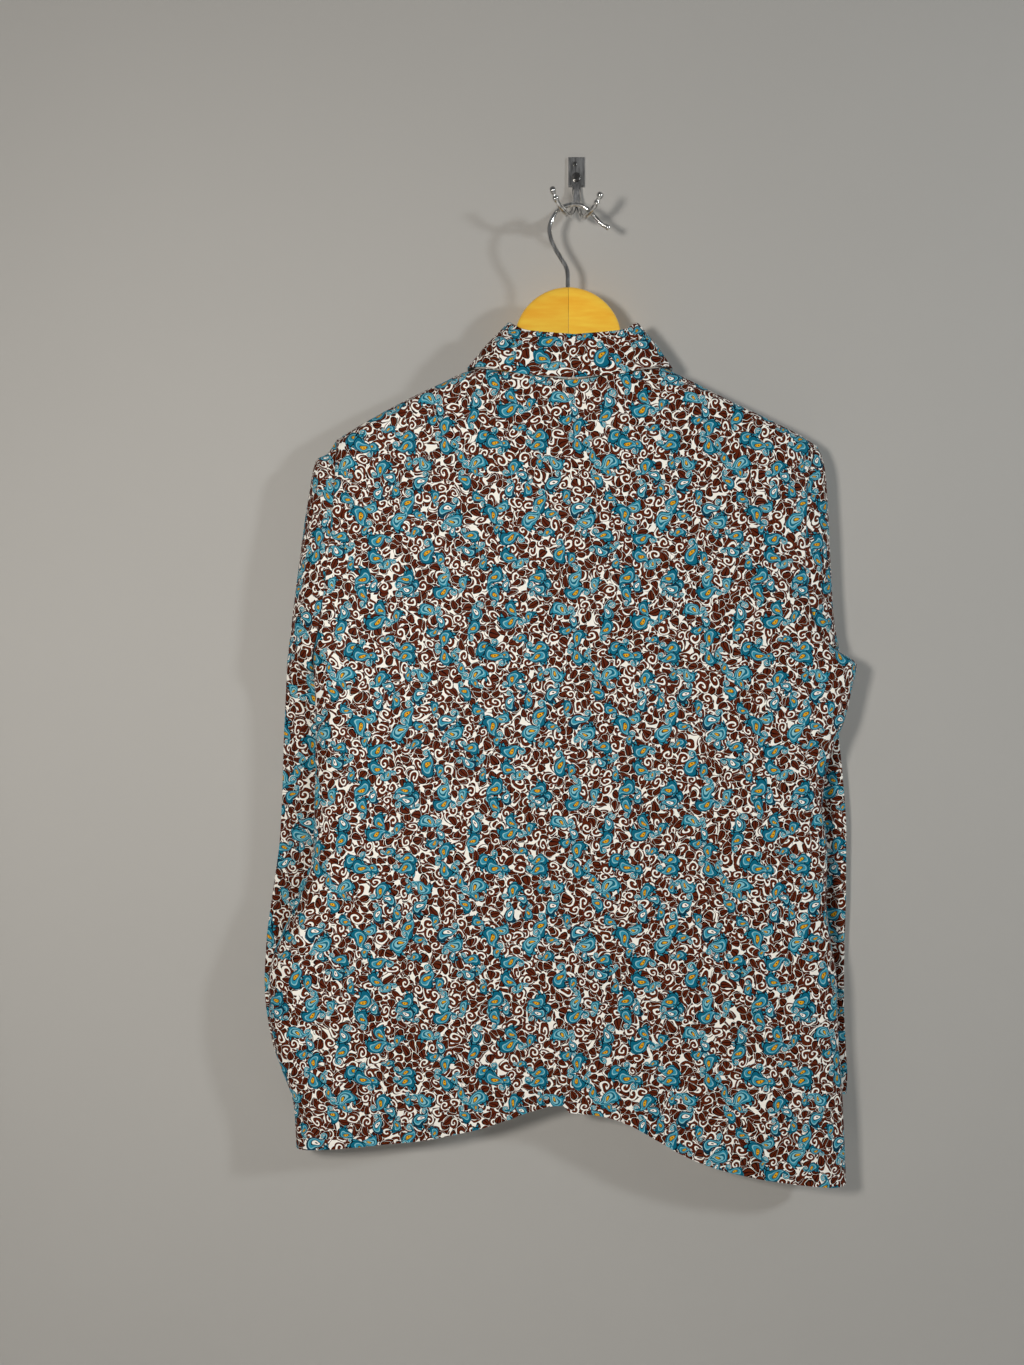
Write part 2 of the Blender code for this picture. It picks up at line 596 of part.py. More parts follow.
def sleeve_row(table, k, around, edge, side):
    """One row of a sleeve or cuff: open at the armhole above the armpit, a ring below it."""
    w, x0, y0, z0, x1, y1, z1, depth = row_at(table, k)
    hole = 0.0
    if table[0][1] < 1 and k <= ARMPIT_ROW:
        x1, y1, z1 = armhole(w, edge, side)
        hole = hole_half(z1, edge)
    ring = step((w - 0.5) / 0.5)
    line = []
    for t in around:
        near = blend(cos(pi * t / 2), (1 + cos(pi * t)) / 2, ring)
        bulge = hole * abs(sin(pi * t / 2)) + depth * abs(sin(pi * t)) ** 0.6
        x = blend(x1, x0, near)
        y = blend(y1, y0, near)
        z = blend(z1, z0, near)
        y += max(0.0, clear_y(x, z, edge, side) + bulge - y) * step(k - ARMPIT_ROW)
        if t < 0:
            y = y - bulge
        else:
            z += 0.7 * bulge * (1 - near) * max(0.0, 1 - abs(k - ARMPIT_ROW - 0.7) / 2.3) * ring
            y = min(y + bulge, max(SLEEVE_BACK_LIMIT, y - bulge + 2 * CLOTH))
        if k < 1 and table[0][1] < 1:
            turn = acos(1 - 2 * w) * t
            x2, y2, z2 = armhole((1 - cos(turn)) / 2, edge, side)
            y2 += hole_half(z2, edge) * (1 if t > 0 else -1)
            x = blend(x2, x, k)
            y = blend(y2, y, k)
            z = blend(z2, z, k)
        line.append((x, y, z))
    return line


def sleeve(name, table, edge, side, wall, mat):
    """A sleeve or cuff as a thin tube."""
    grid = [sleeve_row(table, row[0], AROUND, edge, side) for row in table]
    sewn = table[0][1] < 1

    def facing(j, i, point):
        if sewn and (j == 0 or (j < ARMPIT_ROW and i in (0, len(AROUND) - 1))):
            return edge_facing(point.z, edge)
        if j in (0, len(grid) - 1):
            return 0.0, 0.0, 1.0
        return None

    return cloth(name, grid, wall, mat, closed_from=ARMPIT_ROW if sewn else 0, seam=facing)


def neck_point(turn, side):
    """Point of the neck seam; turn 0 is the centre back and 1 the centre front."""
    x = NECK_X + side * NECK_HALF * sin(pi * turn)
    if turn <= 0.5:
        z = value_at(TOP_BACK, x)
        return x, middle_y(x, z) - neck_half(x), z
    z = value_at(TOP_FRONT, x)
    return x, middle_y(x, z) + neck_half(x), z


def fold_point(turn, side):
    """Point of the collar's fold line."""
    wide = sin(pi * turn)
    deep = NECK_DEPTH * flat_round(wide) * (-1 if turn < 0.5 else 1)
    return FOLD_X + side * FOLD_HALF * wide, BODY_Y + deep, value_at(FOLD_Z, turn)


def collar_turns():
    """Turns around the collar: side and share, from the left front end to the right front end."""
    half = [asin(f) / pi for f in NECK_STEPS]
    half += [1 - t for t in reversed(half[1:-1])] + [0.985]
    return [(-1, t) for t in reversed(half)] + [(1, t) for t in half[1:]]


def collar_seam(j, i, point):
    """Rim directions of the collar stand's lower and upper edge."""
    return (0.0, 0.0, 1.0) if j in (0, 2) else None


def collar_stand(mat):
    """The band between neck seam and fold line."""
    grid = []
    for f in (0.0, 0.5, 1.0):
        line = []
        for side, turn in collar_turns():
            low = Vector(neck_point(turn, side)) + Vector((0, 0, 1.0))
            high = Vector(fold_point(turn, side))
            line.append(low.lerp(high, f))
        grid.append(line)
    return cloth("collar_stand", grid, BAND, mat, seam=collar_seam)


def collar_fall(mat):
    """The part that folds down over the stand, with its two points at the front."""
    grid = []
    for f, far, up in FALL_SECTION:
        line = []
        for side, turn in collar_turns():
            top = Vector(fold_point(turn, side))
            x_left, x_right, y, z = row_at(FALL_EDGE, turn)
            edge = Vector((x_left if side < 0 else x_right, y, z))
            wide = sin(pi * turn)
            deep = flat_round(wide) ** 2 / NECK_DEPTH * (-1 if turn < 0.5 else 1)
            out = Vector((side * wide ** 2 / FOLD_HALF, deep, 0)).normalized()
            line.append(top.lerp(edge, f) + out * far + Vector((0, 0, up)))
        grid.append(line)
    return cloth("collar_fall", grid, CLOTH, mat)


def hanger_ring(side, reach, top, bottom, thick):
    """Section of a hanger arm at a distance from the middle."""
    x = HANGER_X + side * (reach + SEAM / 2)
    y = HANGER_Y + HANGER_BEND * reach / HANGER_REACH
    ring = []
    for n in range(12):
        a = 2 * pi * (n + 0.5) / 12
        wide = cos(a)
        tall = sin(a)
        ring.append((x, y + thick * abs(wide) ** 0.6 * (1 if wide > 0 else -1),
                     (top + bottom) / 2 + (top - bottom) / 2 * abs(tall) ** 0.5
                     * (1 if tall > 0 else -1) / sin(pi * 5 / 12) ** 0.5))
    return ring


def hanger_arm(name, side, mat):
    """Half of the hanger, bored for the wire of its hook."""
    rings = []
    for turn in DOME_TURNS:
        a = pi * turn / 180
        rings.append(hanger_ring(side, DOME_R * sin(a), DOME_Z + DOME_R * cos(a),
                                 DOME_BOTTOM - 8.0 * sin(a) ** 2, 6.0))
    for reach, top, bottom, thick in HANGER_ARM:
        rings.append(hanger_ring(side, reach, top, bottom, thick))
    arm = tube(name, rings, mat)
    path = [(WIRE[0][0], HANGER_Y, z, WIRE_R + 0.35) for z in (-151.0, -120.0)]
    bore = tube("bore", rod_rings(path, 12, (0, 1, 0)), mat)
    combine(arm, bore, "DIFFERENCE")
    return arm


def combine(obj, other, how):
    """Join or cut one object with another, which is then removed."""
    mod = obj.modifiers.new(how.lower(), "BOOLEAN")
    mod.operation = how
    mod.solver = "EXACT"
    mod.object = other
    shape = bpy.context.evaluated_depsgraph_get()
    shape.update()
    mesh = bpy.data.meshes.new_from_object(obj.evaluated_get(shape))
    obj.modifiers.clear()
    obj.data = mesh
    bpy.data.objects.remove(other)


def block(name, size, centre, bevel, mat):
    """A box with bevelled edges."""
    work = bmesh.new()
    bmesh.ops.create_cube(work, size=1.0)
    for v in work.verts:
        v.co = Vector([c * s + m for c, s, m in zip(v.co, size, centre)])
    front = [e for e in work.edges if all(v.co.y < centre[1] for v in e.verts)]
    bmesh.ops.bevel(work, geom=front, offset=bevel, segments=2, affect="EDGES")
    points = [tuple(v.co) for v in work.verts]
    work.verts.index_update()
    faces = [tuple(v.index for v in f.verts) for f in work.faces]
    work.free()
    return solid(name, points, faces, mat)


def disc(name, centre, radius, thick, rim, sides, mat):
    """A round disc facing -Y or +Y, with a softened front rim; rim is the signed softening."""
    x, y, z = centre
    way = 1 if thick > 0 else -1
    steps = ((y, radius), (y + thick - way * rim, radius), (y + thick, radius - rim * 1.6))
    rings = [[(x + r * cos(2 * pi * i / sides), depth, z + r * sin(2 * pi * i / sides))
              for i in range(sides)] for depth, r in steps]
    return tube(name, rings, mat)


def wall_hook(mat):
    """Plate, stem and two prongs as one casting."""
    hook = block("wall_hook", PLATE, (0, -PLATE[1] / 2, PLATE_Z), 1.4, mat)
    stem = block("stem", STEM, (0, -0.6 - STEM[1] / 2, STEM_Z), 2.0, mat)
    combine(hook, stem, "UNION")
    for path in (PRONG_LEFT, PRONG_RIGHT):
        prong = tube("prong", rod_rings(path, 10, (1, 0, 0)), mat)
        combine(hook, prong, "UNION")
    return hook


def wire(mat):
    """The hanger's hook: a bent wire with a ball at its tip."""
    path = [(x, HANGER_Y, z, WIRE_R) for x, z in WIRE]
    tip = Vector(path[-1][:3])
    ahead = (tip - Vector(path[-2][:3])).normalized()
    for d, r in ((0.3, 2.6), (1.6, WIRE_TIP_R), (3.2, 2.5), (4.3, 1.1)):
        path.append((*(tip + ahead * d), r))
    return tube("hanger_hook", rod_rings(path, 10, (0, 1, 0)), mat)


def build():
    """Clear the scene and build every piece."""
    for obj in list(bpy.data.objects):
        bpy.data.objects.remove(obj)
    mats = {name: look(name, colour, 0.75) for name, colour in LOOKS.items()}
    side_left = (left_x, True)
    side_right = (right_x, True)
    spread = [NECK_HALF * f for f in NECK_STEPS]
    half_left = [-176.0, -148.0, -122.0] + [NECK_X - d for d in reversed(spread)]
    half_right = [NECK_X + d for d in spread] + [112.0, 142.0, 172.0]
    grid = panel(TOP_BACK, 0.0, side_left, side_right, half_left + half_right[1:], back_y)
    cloth("back", grid, CLOTH, mats["back"],
          seam=panel_seam(TOP_BACK, (True, True), len(grid[0]) - 1))
    grid = panel(TOP_FRONT, FRONT_HEM_RISE, side_left, (lap_left, False), half_left, front_y)
    cloth("front_left", grid, CLOTH, mats["front_left"],
          seam=panel_seam(TOP_FRONT, (True, False), len(grid[0]) - 1))
    grid = panel(TOP_FRONT, FRONT_HEM_RISE, (lap_right, False), side_right, half_right, under_y)
    cloth("front_right", grid, CLOTH, mats["front_right"],
          seam=panel_seam(TOP_FRONT, (False, True), len(grid[0]) - 1))
    collar_stand(mats["collar_stand"])
    collar_fall(mats["collar_fall"])
    for name, table, edge, side in (("left", SLEEVE_LEFT, LEFT_EDGE, -1),
                                    ("right", SLEEVE_RIGHT, RIGHT_EDGE, 1)):
        sleeve("sleeve_" + name, table, edge, side, CLOTH, mats["sleeve_" + name])
    for name, table, edge, side in (("left", CUFF_LEFT, LEFT_EDGE, -1),
                                    ("right", CUFF_RIGHT, RIGHT_EDGE, 1)):
        sleeve("cuff_" + name, table, edge, side, BAND, mats["cuff_" + name])
    hanger_arm("hanger_arm_left", -1, mats["hanger_arm_left"])
    hanger_arm("hanger_arm_right", 1, mats["hanger_arm_right"])
    wire(look("hanger_hook", CHROME_LOOK, 0.15, 1.0))
    wall_hook(look("wall_hook", CHROME_LOOK, 0.12, 1.0))
    for name, (x, z, radius, height, slot) in SCREWS.items():
        mat = look(name, CHROME_LOOK, 0.3, 1.0)
        screw = disc(name, (x, -PLATE[1] - SEAM, z), radius, -height, 0.5, 14, mat)
        if slot:
            bar = block("slot", (slot, 1.2, 3 * radius), (0, -PLATE[1] - SEAM - height, 0), 0.1, mat)
            bar.rotation_euler = (0, pi / 4, 0)
            bar.location = (x * MM, 0, z * MM)
            combine(screw, bar, "DIFFERENCE")
    for n, z in enumerate(FRONT_BUTTONS, 1):
        name = "button_%d" % n
        y = front_y(PLACKET_X, z) + CLOTH / 2 + SEAM
        disc(name, (PLACKET_X, y, z), BUTTON_R, BUTTON_T, 0.5, 14, look(name, BUTTON_LOOK, 0.4))
    for name, (x, z) in CUFF_BUTTONS.items():
        y = -11.0 + 4.6 + BAND / 2 + SEAM
        disc(name, (x, y, z), BUTTON_R, BUTTON_T, 0.5, 14, look(name, BUTTON_LOOK, 0.4))


build()
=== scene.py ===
"""Looks for the printed shirt on its wooden hanger and chrome wall hook, seen from its back.

Tables are in millimetres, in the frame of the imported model: the wall is the plane y = 0, the viewer
is on the -Y side and +Z is up.
"""
from functools import partialmethod
from math import acos, asin, copysign, cos, exp, hypot, pi, sin, sqrt

import bmesh
import bpy
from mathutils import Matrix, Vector, noise


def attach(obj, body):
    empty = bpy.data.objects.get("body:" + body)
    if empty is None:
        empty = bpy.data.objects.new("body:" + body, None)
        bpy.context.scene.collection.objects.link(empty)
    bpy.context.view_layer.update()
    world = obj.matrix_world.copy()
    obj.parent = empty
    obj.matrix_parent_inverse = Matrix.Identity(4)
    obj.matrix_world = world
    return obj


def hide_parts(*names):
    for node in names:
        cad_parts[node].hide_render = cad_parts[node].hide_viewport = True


MM = 0.001
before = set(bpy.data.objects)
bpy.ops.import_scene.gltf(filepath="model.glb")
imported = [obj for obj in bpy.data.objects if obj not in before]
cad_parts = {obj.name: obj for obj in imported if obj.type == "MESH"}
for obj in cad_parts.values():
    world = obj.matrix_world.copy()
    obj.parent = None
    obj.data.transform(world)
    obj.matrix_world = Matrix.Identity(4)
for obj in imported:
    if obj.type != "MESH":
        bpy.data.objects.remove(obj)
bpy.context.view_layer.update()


def numbered(*rows):
    """Rows with their number in front."""
    return tuple((n, *row) for n, row in enumerate(rows))


# ---------------------------------------------------------------- sizes, as in the solids
CLOTH = 0.8          # thickness of the cloth's shell
BAND = 1.4           # and where it is doubled
SEAM = 0.3           # gap between pieces that are sewn together
BODY_Y = -40         # plane halfway between back and fronts
DEPTH = 18           # half depth of the body
SHOULDER_BEND = 9    # of the shoulders toward the wall
BEND_REACH = 225     # distance from the neck where it is full
BEND_Z = -280        # height where it begins to fade
BEND_FADE = 190      # and the length of its fade
SIDE_ROUND = 30      # width over which the body's depth grows from its edge
TOP_ROUND = 14       # and from its top
PLACKET_X = -8       # middle of the placket
PLACKET = 16         # half its width
LAP_LEFT = PLACKET_X + PLACKET     # inner edge of the upper front
LAP_RIGHT = PLACKET_X - PLACKET    # inner edge of the under front
LAP = 2.2            # how far the under front lies beneath the upper one
NECK_X = -8
NECK_HALF = 92
NECK_DEPTH = 18
NECK_STEPS = (0, 0.2, 0.42, 0.66, 0.85, 0.96, 1)    # places around it, as shares of its half width
HOLE_DEPTH = 17      # half depth of an armhole
FRONT_HEM_RISE = 6   # how much higher the fronts' hem is
SLEEVE_BACK_LIMIT = -3    # how near the wall a sleeve comes
ARMPIT_ROW = 8       # row of the sleeve tables at the armpit
SLEEVE_PARTS = 9     # grid rows per row of a sleeve table
CUFF_PARTS = 5
AROUND = 73          # points around a sleeve or cuff
STAND_ROWS = 9       # grid rows of the collar's stand
TURN_PARTS = 5       # steps between two places of the neck
FOLD_SIDE = 24       # the folds fade this near the side seams,
FOLD_TOP = -225      # and are gone above this height
CREASE_SIDE = 22     # and so the creases
CREASE_TOP = -222
TOP_FADE = 40        # length of both fades under the top

# body edge: height z, x; armhole above the armpit, side seam below it
LEFT_ROWS = (
    (-270.1, -232.1), (-309.7, -232.5), (-348.3, -235.1), (-402.9, -239.9), (-448.8, -246),
    (-487.1, -253), (-540.2, -251), (-598.1, -252), (-646.4, -253), (-680.2, -255.9),
    (-709.2, -268.4), (-743, -282.9), (-767.2, -292.6), (-791.3, -296.4), (-820.3, -295.5),
    (-849.3, -290.6), (-873.4, -283.9), (-892.7, -276.2), (-907.2, -272.3), (-931.4, -270.4),
    (-955.5, -269.4))
RIGHT_ROWS = (
    (-276, 229.7), (-301.7, 220.8), (-348.3, 216), (-386.6, 214.1), (-424.9, 218),
    (-453.6, 226.1), (-470.8, 242.5), (-487.1, 265.7), (-511.2, 260.8), (-540.2, 254.1),
    (-560.5, 245.4), (-595.2, 235.7), (-624.2, 232.8), (-664.8, 237.7), (-712.1, 236.7),
    (-752.7, 241.5), (-788.4, 246.4), (-845.4, 248.3), (-902.4, 252.2), (-990.3, 256))
LEFT_EDGE = (LEFT_ROWS, -487.1)    # with the armpit's height
RIGHT_EDGE = (RIGHT_ROWS, -470.8)

# top and hem of a panel: x, z
SHOULDER_LEFT = (
    (-232.1, -270.1), (-210.7, -257.8), (-171.8, -236.9), (-133.2, -218.8), (-100, -206))
SHOULDER_RIGHT = (
    (84, -205), (90.5, -207.7), (137.1, -230.4), (175.9, -248.5), (214.9, -267.4),
    (229.7, -276))
NECK_BACK = (
    (-84, -208), (-60, -211.5), (-35, -215.5), (-8, -218.5), (19, -215.5),
    (45, -211), (68, -207.5))
NECK_FRONT = (
    (-88, -217), (-70, -233), (-45, -249), (-8, -262), (29, -249),
    (54, -232), (72, -216))
HEM = (
    (-270, -948), (-264.2, -947.2), (-216.9, -943.4), (-169.6, -938.7), (-131.8, -933),
    (-93.9, -925.4), (-65.6, -916), (-41.9, -907.5), (-18.3, -902.7), (-11.5, -902.7),
    (-9, -909.3), (19.6, -913.1), (48, -921.6), (71.6, -934.9), (95.3, -949.1),
    (123.6, -961.4), (152, -968.9), (189.9, -975.6), (227.7, -980.3), (248.5, -982.2),
    (256, -981))

# soft folds of the back: x, z at the upper end; x, z at the lower end; half width; height
FOLDS = (
    (-206, -500, -214, -740, 20, 4),
    (66, -500, 72, -760, 20, 4),
    (-118, -560, -150, -990, 28, 5),
    (150, -520, 178, -1010, 30, 5),
    (-20, -330, -40, -940, 45, 3),
    (-262, -640, -268, -840, 16, 4),
    (-150, -300, -222, -470, 18, 3),
    (132, -300, 214, -470, 18, 3))

# sleeve rows from shoulder tip to cuff: row, share of the way down the armhole; outer x, y, z;
# inner x, y, z, used below the armpit; half depth. The first row at share 1 closes the tube.
SLEEVE_LEFT = numbered(
    (0.035, -232.4, -31, -270.1, -232.4, -31, -270.1, 0),
    (0.126, -241.1, -29.2, -283, -235, -32, -300, 0),
    (0.25, -252, -29.8, -289.5, -238, -34, -330, 0),
    (0.413, -260, -28, -325, -242, -36, -360, 0),
    (0.587, -266.5, -28, -370, -246, -38, -400, 1),
    (0.75, -272.5, -27, -415, -249, -39, -430, 3),
    (0.883, -277, -26, -452, -251, -40, -460, 6),
    (0.97, -279.5, -25.5, -473, -253, -40, -480, 8),
    (1, -281, -25, -486, -253.4, -40, -487.1, 9),
    (1, -282, -23, -500, -254.5, -29, -494, 9.5),
    (1, -283, -21.5, -517, -246, -20, -507, 9),
    (1, -284.5, -20, -540, -226, -15, -527, 7.5),
    (1, -286, -18.5, -570, -190, -12.5, -558, 6.5),
    (1, -287.5, -17, -610, -152, -11, -600, 5.5),
    (1, -290, -15.5, -655, -126, -11, -650, 5),
    (1, -297, -13, -705, -118, -11, -705, 5),
    (1, -304, -11.5, -757, -124, -11, -757, 5),
    (1, -306, -11, -798, -140, -11, -800, 4.5),
    (1, -304.5, -11, -822, -162, -11, -825, 4.5),
    (1, -302, -11, -837.5, -178, -11, -840, 4.5))
SLEEVE_RIGHT = numbered(
    (0.03, 230, -31, -276, 230, -31, -276, 0),
    (0.117, 235, -29.5, -286, 231, -32, -300, 0),
    (0.25, 238.5, -29, -301, 232, -34, -325, 0),
    (0.413, 241, -28.5, -333, 234, -36, -357, 0),
    (0.587, 243, -28, -372, 236, -38, -390, 1),
    (0.75, 245, -27.5, -410, 238, -39, -422, 2.5),
    (0.883, 247, -27, -440, 240, -40, -448, 4.4),
    (0.959, 250, -25.8, -459, 242, -40, -465, 3.4),
    (1, 252.1, -24.8, -467, 242.9, -40, -470.8, 4.3),
    (1, 254.5, -19.4, -475.2, 245.5, -29.2, -470.8, 3.8),
    (1, 254.5, -19, -488, 245, -20.5, -476, 4.5),
    (1, 254.5, -18, -505, 238, -17, -489, 5),
    (1, 253, -17.5, -530, 216, -14, -512, 6),
    (1, 255.5, -16, -560, 180, -11.5, -545, 5.5),
    (1, 260, -14, -602, 142, -11, -590, 5.5),
    (1, 263.5, -12.5, -652, 112, -11, -645, 5),
    (1, 263.5, -11.5, -708, 100, -11, -705, 5),
    (1, 262, -11, -765, 104, -11, -765, 4.5),
    (1, 261.5, -11, -813, 120, -11, -815, 4.5),
    (1, 262.5, -11, -845, 142, -11, -847.5, 4.5))

CUFF_LEFT = numbered(
    (1, -302, -11, -837.9, -178, -11, -840.4, 4.5),
    (1, -297, -11, -860, -172, -11, -862, 4.5),
    (1, -288.7, -11, -882.7, -168, -11, -885, 4.6),
    (1, -281, -11, -897.5, -165, -11, -900, 4.8))
CUFF_RIGHT = numbered(
    (1, 262.5, -11, -845.4, 142, -11, -847.9, 4.5),
    (1, 263.3, -11, -867, 143, -11, -869, 4.5),
    (1, 264.5, -11, -888, 145, -11, -890, 4.6),
    (1, 263.5, -11, -907, 146, -11, -909.5, 4.8))

# collar, by turn from the centre back (0) to the centre front (1)
# fold line: its middle, half width, and height z at each turn
FOLD_X = -5.5
FOLD_HALF = 60.5
FOLD_Z = ((0, -178), (0.25, -173.5), (0.42, -165), (0.5, -162.5), (0.6, -166),
          (0.8, -192), (1, -222))
# lower edge of the fall: turn, left x, right x, y, z
FALL_EDGE = (
    (0, -9, -7, -62.6, -217),
    (0.18, -56, 38, -61.6, -213),
    (0.36, -90, 68, -56, -205.5),
    (0.5, -106, 89.5, -42, -203.5),
    (0.57, -106, 90, -31.5, -204),
    (0.64, -104, 88, -20.5, -209.5),
    (0.72, -97, 81, -17.8, -223),
    (0.82, -85, 70, -16.6, -246),
    (1, -64, 48, -15.8, -292))
# section of the fall: share of the way down, how far out, how far up
FALL_SECTION = (
    (0, -0.6, 2.1), (0, 1.6, 1.9), (0.03, 2.7, 0.6), (0.2, 3.2, 0), (0.5, 3.4, 0),
    (1, 0, 0))

# hanger: its middle, its bend toward the wall, and the dome around its wire
HANGER_X = -10
HANGER_Y = -41.5
HANGER_BEND = 8.5
HANGER_REACH = 205
DOME_Z = -177.5
DOME_R = 51.5
DOME_SWEEP = 70      # degrees from the dome's top to its end
DOME_BOTTOM = -200
# an arm: distance from the middle, top z, bottom z, half thickness
HANGER_ARM = (
    (51.4, -172, -212, 6),
    (54, -185, -216, 6),
    (62, -198, -222, 6),
    (72, -206, -229, 5.8),
    (88, -213, -238, 5.6),
    (120, -222.6, -250, 5.6),
    (155, -236, -262, 5.2),
    (185, -250.5, -272, 4.6),
    (199, -258.5, -275, 3.6),
    (205, -263.5, -272.5, 1.8))
# the wire of the hanger's hook: x, z of its centreline
WIRE = (
    (-10.3, -150), (-10.3, -126), (-10.3, -114.6), (-11.9, -106.9), (-16.7, -98.3),
    (-22.5, -88.7), (-26.3, -80.1), (-27.8, -71.5), (-26.3, -62.8), (-21.5, -54.2),
    (-14.8, -49), (-7.2, -46.6), (-0.5, -46.6), (6.3, -49.4), (12, -54.2),
    (16.8, -60), (21.6, -64.8), (26.4, -67.6))
WIRE_R = 2.25
BORE_GAP = 0.35      # between the wire and the bore in the wood,
BORE_Z = (-151, -120)    # whose ends are at these heights
# the ball at the wire's tip: way past its end, radius
WIRE_BALL = (
    (0.2, 2.45), (0.7, 2.7), (1.3, 2.86), (2, 2.88), (2.8, 2.7), (3.5, 2.3), (4, 1.7),
    (4.35, 0.9))

# wall hook: width, depth and height of its plate and its stem, each with its middle's height
PLATE = (16, 3.2, 29.6)
PLATE_Z = 0.4
STEM = (8.4, 6.5, 21)
STEM_Z = -22
# a prong: x, y, z of its centreline and its radius
PRONG_LEFT = (
    (-1, -4.5, -19, 2.6), (-2.5, -9, -33, 3), (-5.5, -20, -46.5, 3.1),
    (-9, -32, -53, 3), (-12.5, -42, -54.6, 2.9), (-18, -50.5, -51.6, 2.7),
    (-21.4, -54.6, -47.8, 2.5), (-22, -55.2, -47, 3.3), (-23, -56.2, -45.4, 3.3),
    (-23.6, -56.8, -44.4, 2.2), (-24.2, -57.6, -42.6, 2.2), (-24.9, -58.3, -41, 3.1),
    (-25.5, -58.9, -39.2, 3.3), (-26, -59.5, -37.4, 2.5), (-26.3, -59.8, -36.5, 1.1))
PRONG_RIGHT = (
    (1, -4.5, -19, 2.6), (2, -9, -33, 3), (3.5, -20, -47.5, 3.1),
    (5.2, -32, -55.4, 3), (7, -42, -57.5, 2.8), (12.4, -50.5, -54.8, 2.7),
    (15.6, -54.6, -51.6, 2.5), (16.1, -55.2, -50.8, 3.3), (17, -56.2, -49.4, 3.3),
    (17.5, -56.8, -48.4, 2.2), (18.2, -57.6, -47, 2.2), (18.9, -58.3, -45.6, 3.1),
    (19.5, -58.9, -44, 3.3), (20, -59.5, -42.4, 2.5), (20.3, -59.8, -41.6, 1.1))
# screw: x, z, radius, height of its head, width of its slot
SCREWS = {
    "wall_screw_upper": (-1.5, 8, 2.1, 0.8, 0),
    "wall_screw_lower": (-0.4, -5.2, 4.4, 1.9, 1.1),
}

# buttons down the front: z of each; and one at each cuff: x, z
FRONT_BUTTONS = (-330, -425, -520, -615, -710, -805)
CUFF_BUTTONS = {"button_cuff_left": (-231, -870), "button_cuff_right": (204, -878)}
BUTTON_R = 5.5
BUTTON_T = 1.8
BUTTON_RIM = 0.6
HOLE_AT = 1.1        # how far a button's holes are from its middle, across and up
HOLE_R = 0.5
WALL_HALF = 0.6      # half the thickness of the solids' cloth
CUFF_BUTTON_Y = -5.5

FINE = 4.2        # grid step of the cloth
TOUCH = 0.005     # points nearer than this are one
LOOK_AHEAD = 9    # grid rows either way that give the direction of a sleeve's fold


def row_at(table, q):
    """All values of a table's row at position q, smooth and without overshoot."""
    rows = table if table[0][0] < table[-1][0] else table[::-1]
    if q <= rows[0][0]:
        return rows[0][1:]
    if q >= rows[-1][0]:
        return rows[-1][1:]
    i = max(k for k in range(len(rows) - 1) if rows[k][0] <= q)
    span = rows[i + 1][0] - rows[i][0]
    f = (q - rows[i][0]) / span
    out = []
    for c in range(1, len(rows[0])):
        rise = [(rows[k + 1][c] - rows[k][c]) / (rows[k + 1][0] - rows[k][0])
                for k in range(max(i - 1, 0), min(i + 2, len(rows) - 1))]
        here = rise[1] if i > 0 else rise[0]
        before = rise[0]
        after = rise[-1]
        m0 = 2 * before * here / (before + here) if before * here > 0 else 0
        m1 = 2 * after * here / (after + here) if after * here > 0 else 0
        if i == 0:
            m0 = here
        if i == len(rows) - 2:
            m1 = here
        out.append(rows[i][c] * (1 + 2 * f) * (1 - f) ** 2 + m0 * span * f * (1 - f) ** 2
                   + rows[i + 1][c] * f * f * (3 - 2 * f) + m1 * span * f * f * (f - 1))
    return tuple(out)


def value_at(table, q):
    """The first value of a table at position q."""
    return row_at(table, q)[0]


def blend(a, b, f):
    """The value a share f of the way from a to b."""
    return a + (b - a) * f


def step(f):
    """Smooth rise from 0 to 1."""
    f = min(max(f, 0), 1)
    return f * f * (3 - 2 * f)


def quarter(f):
    """A quarter circle's rise from 0 to 1."""
    f = min(max(f, 0), 1)
    return sqrt(1 - (1 - f) ** 2)


def flat_round(f):
    """Depth of a flattened ring at a share f of its half width."""
    return max(0, 1 - abs(f) ** 3) ** (1 / 3)


TOP_BACK = SHOULDER_LEFT + NECK_BACK + SHOULDER_RIGHT
TOP_FRONT = SHOULDER_LEFT + NECK_FRONT + SHOULDER_RIGHT


def middle_y(x, z):
    """The plane halfway between back and fronts; the shoulders bend to the wall."""
    fade = 1 - step((BEND_Z - z) / BEND_FADE)
    return BODY_Y + SHOULDER_BEND * min(1, (x - NECK_X) ** 2 / BEND_REACH ** 2) * fade


def edge_x(edge, z):
    """An edge's x at height z."""
    return value_at(edge[0], z)


def lap(x):
    """The straight inner edge of a front: it has no armpit."""
    return ((0, x), (1, x)), None


def hole_half(z, edge):
    """Half depth of an armhole at height z."""
    top = edge[0][0][0]
    place = (z - (top + edge[1]) / 2) / ((top - edge[1]) / 2)
    return HOLE_DEPTH * sqrt(max(0, 1 - place * place))


def neck_half(x):
    """Half depth of the neck seam at x."""
    return NECK_DEPTH * flat_round((x - NECK_X) / NECK_HALF)


def side_gap(x, z):
    """Distance to the nearer edge of the body."""
    return min(x - edge_x(LEFT_EDGE, z), edge_x(RIGHT_EDGE, z) - x)


def half_depth(x, z, top):
    """Half depth of the body at x, z."""
    gap, edge = min((x - edge_x(LEFT_EDGE, z), LEFT_EDGE), (edge_x(RIGHT_EDGE, z) - x, RIGHT_EDGE))
    upper = blend(neck_half(x), DEPTH, quarter((value_at(top, x) - z) / TOP_ROUND))
    return blend(hole_half(z, edge), upper, quarter(gap / SIDE_ROUND))


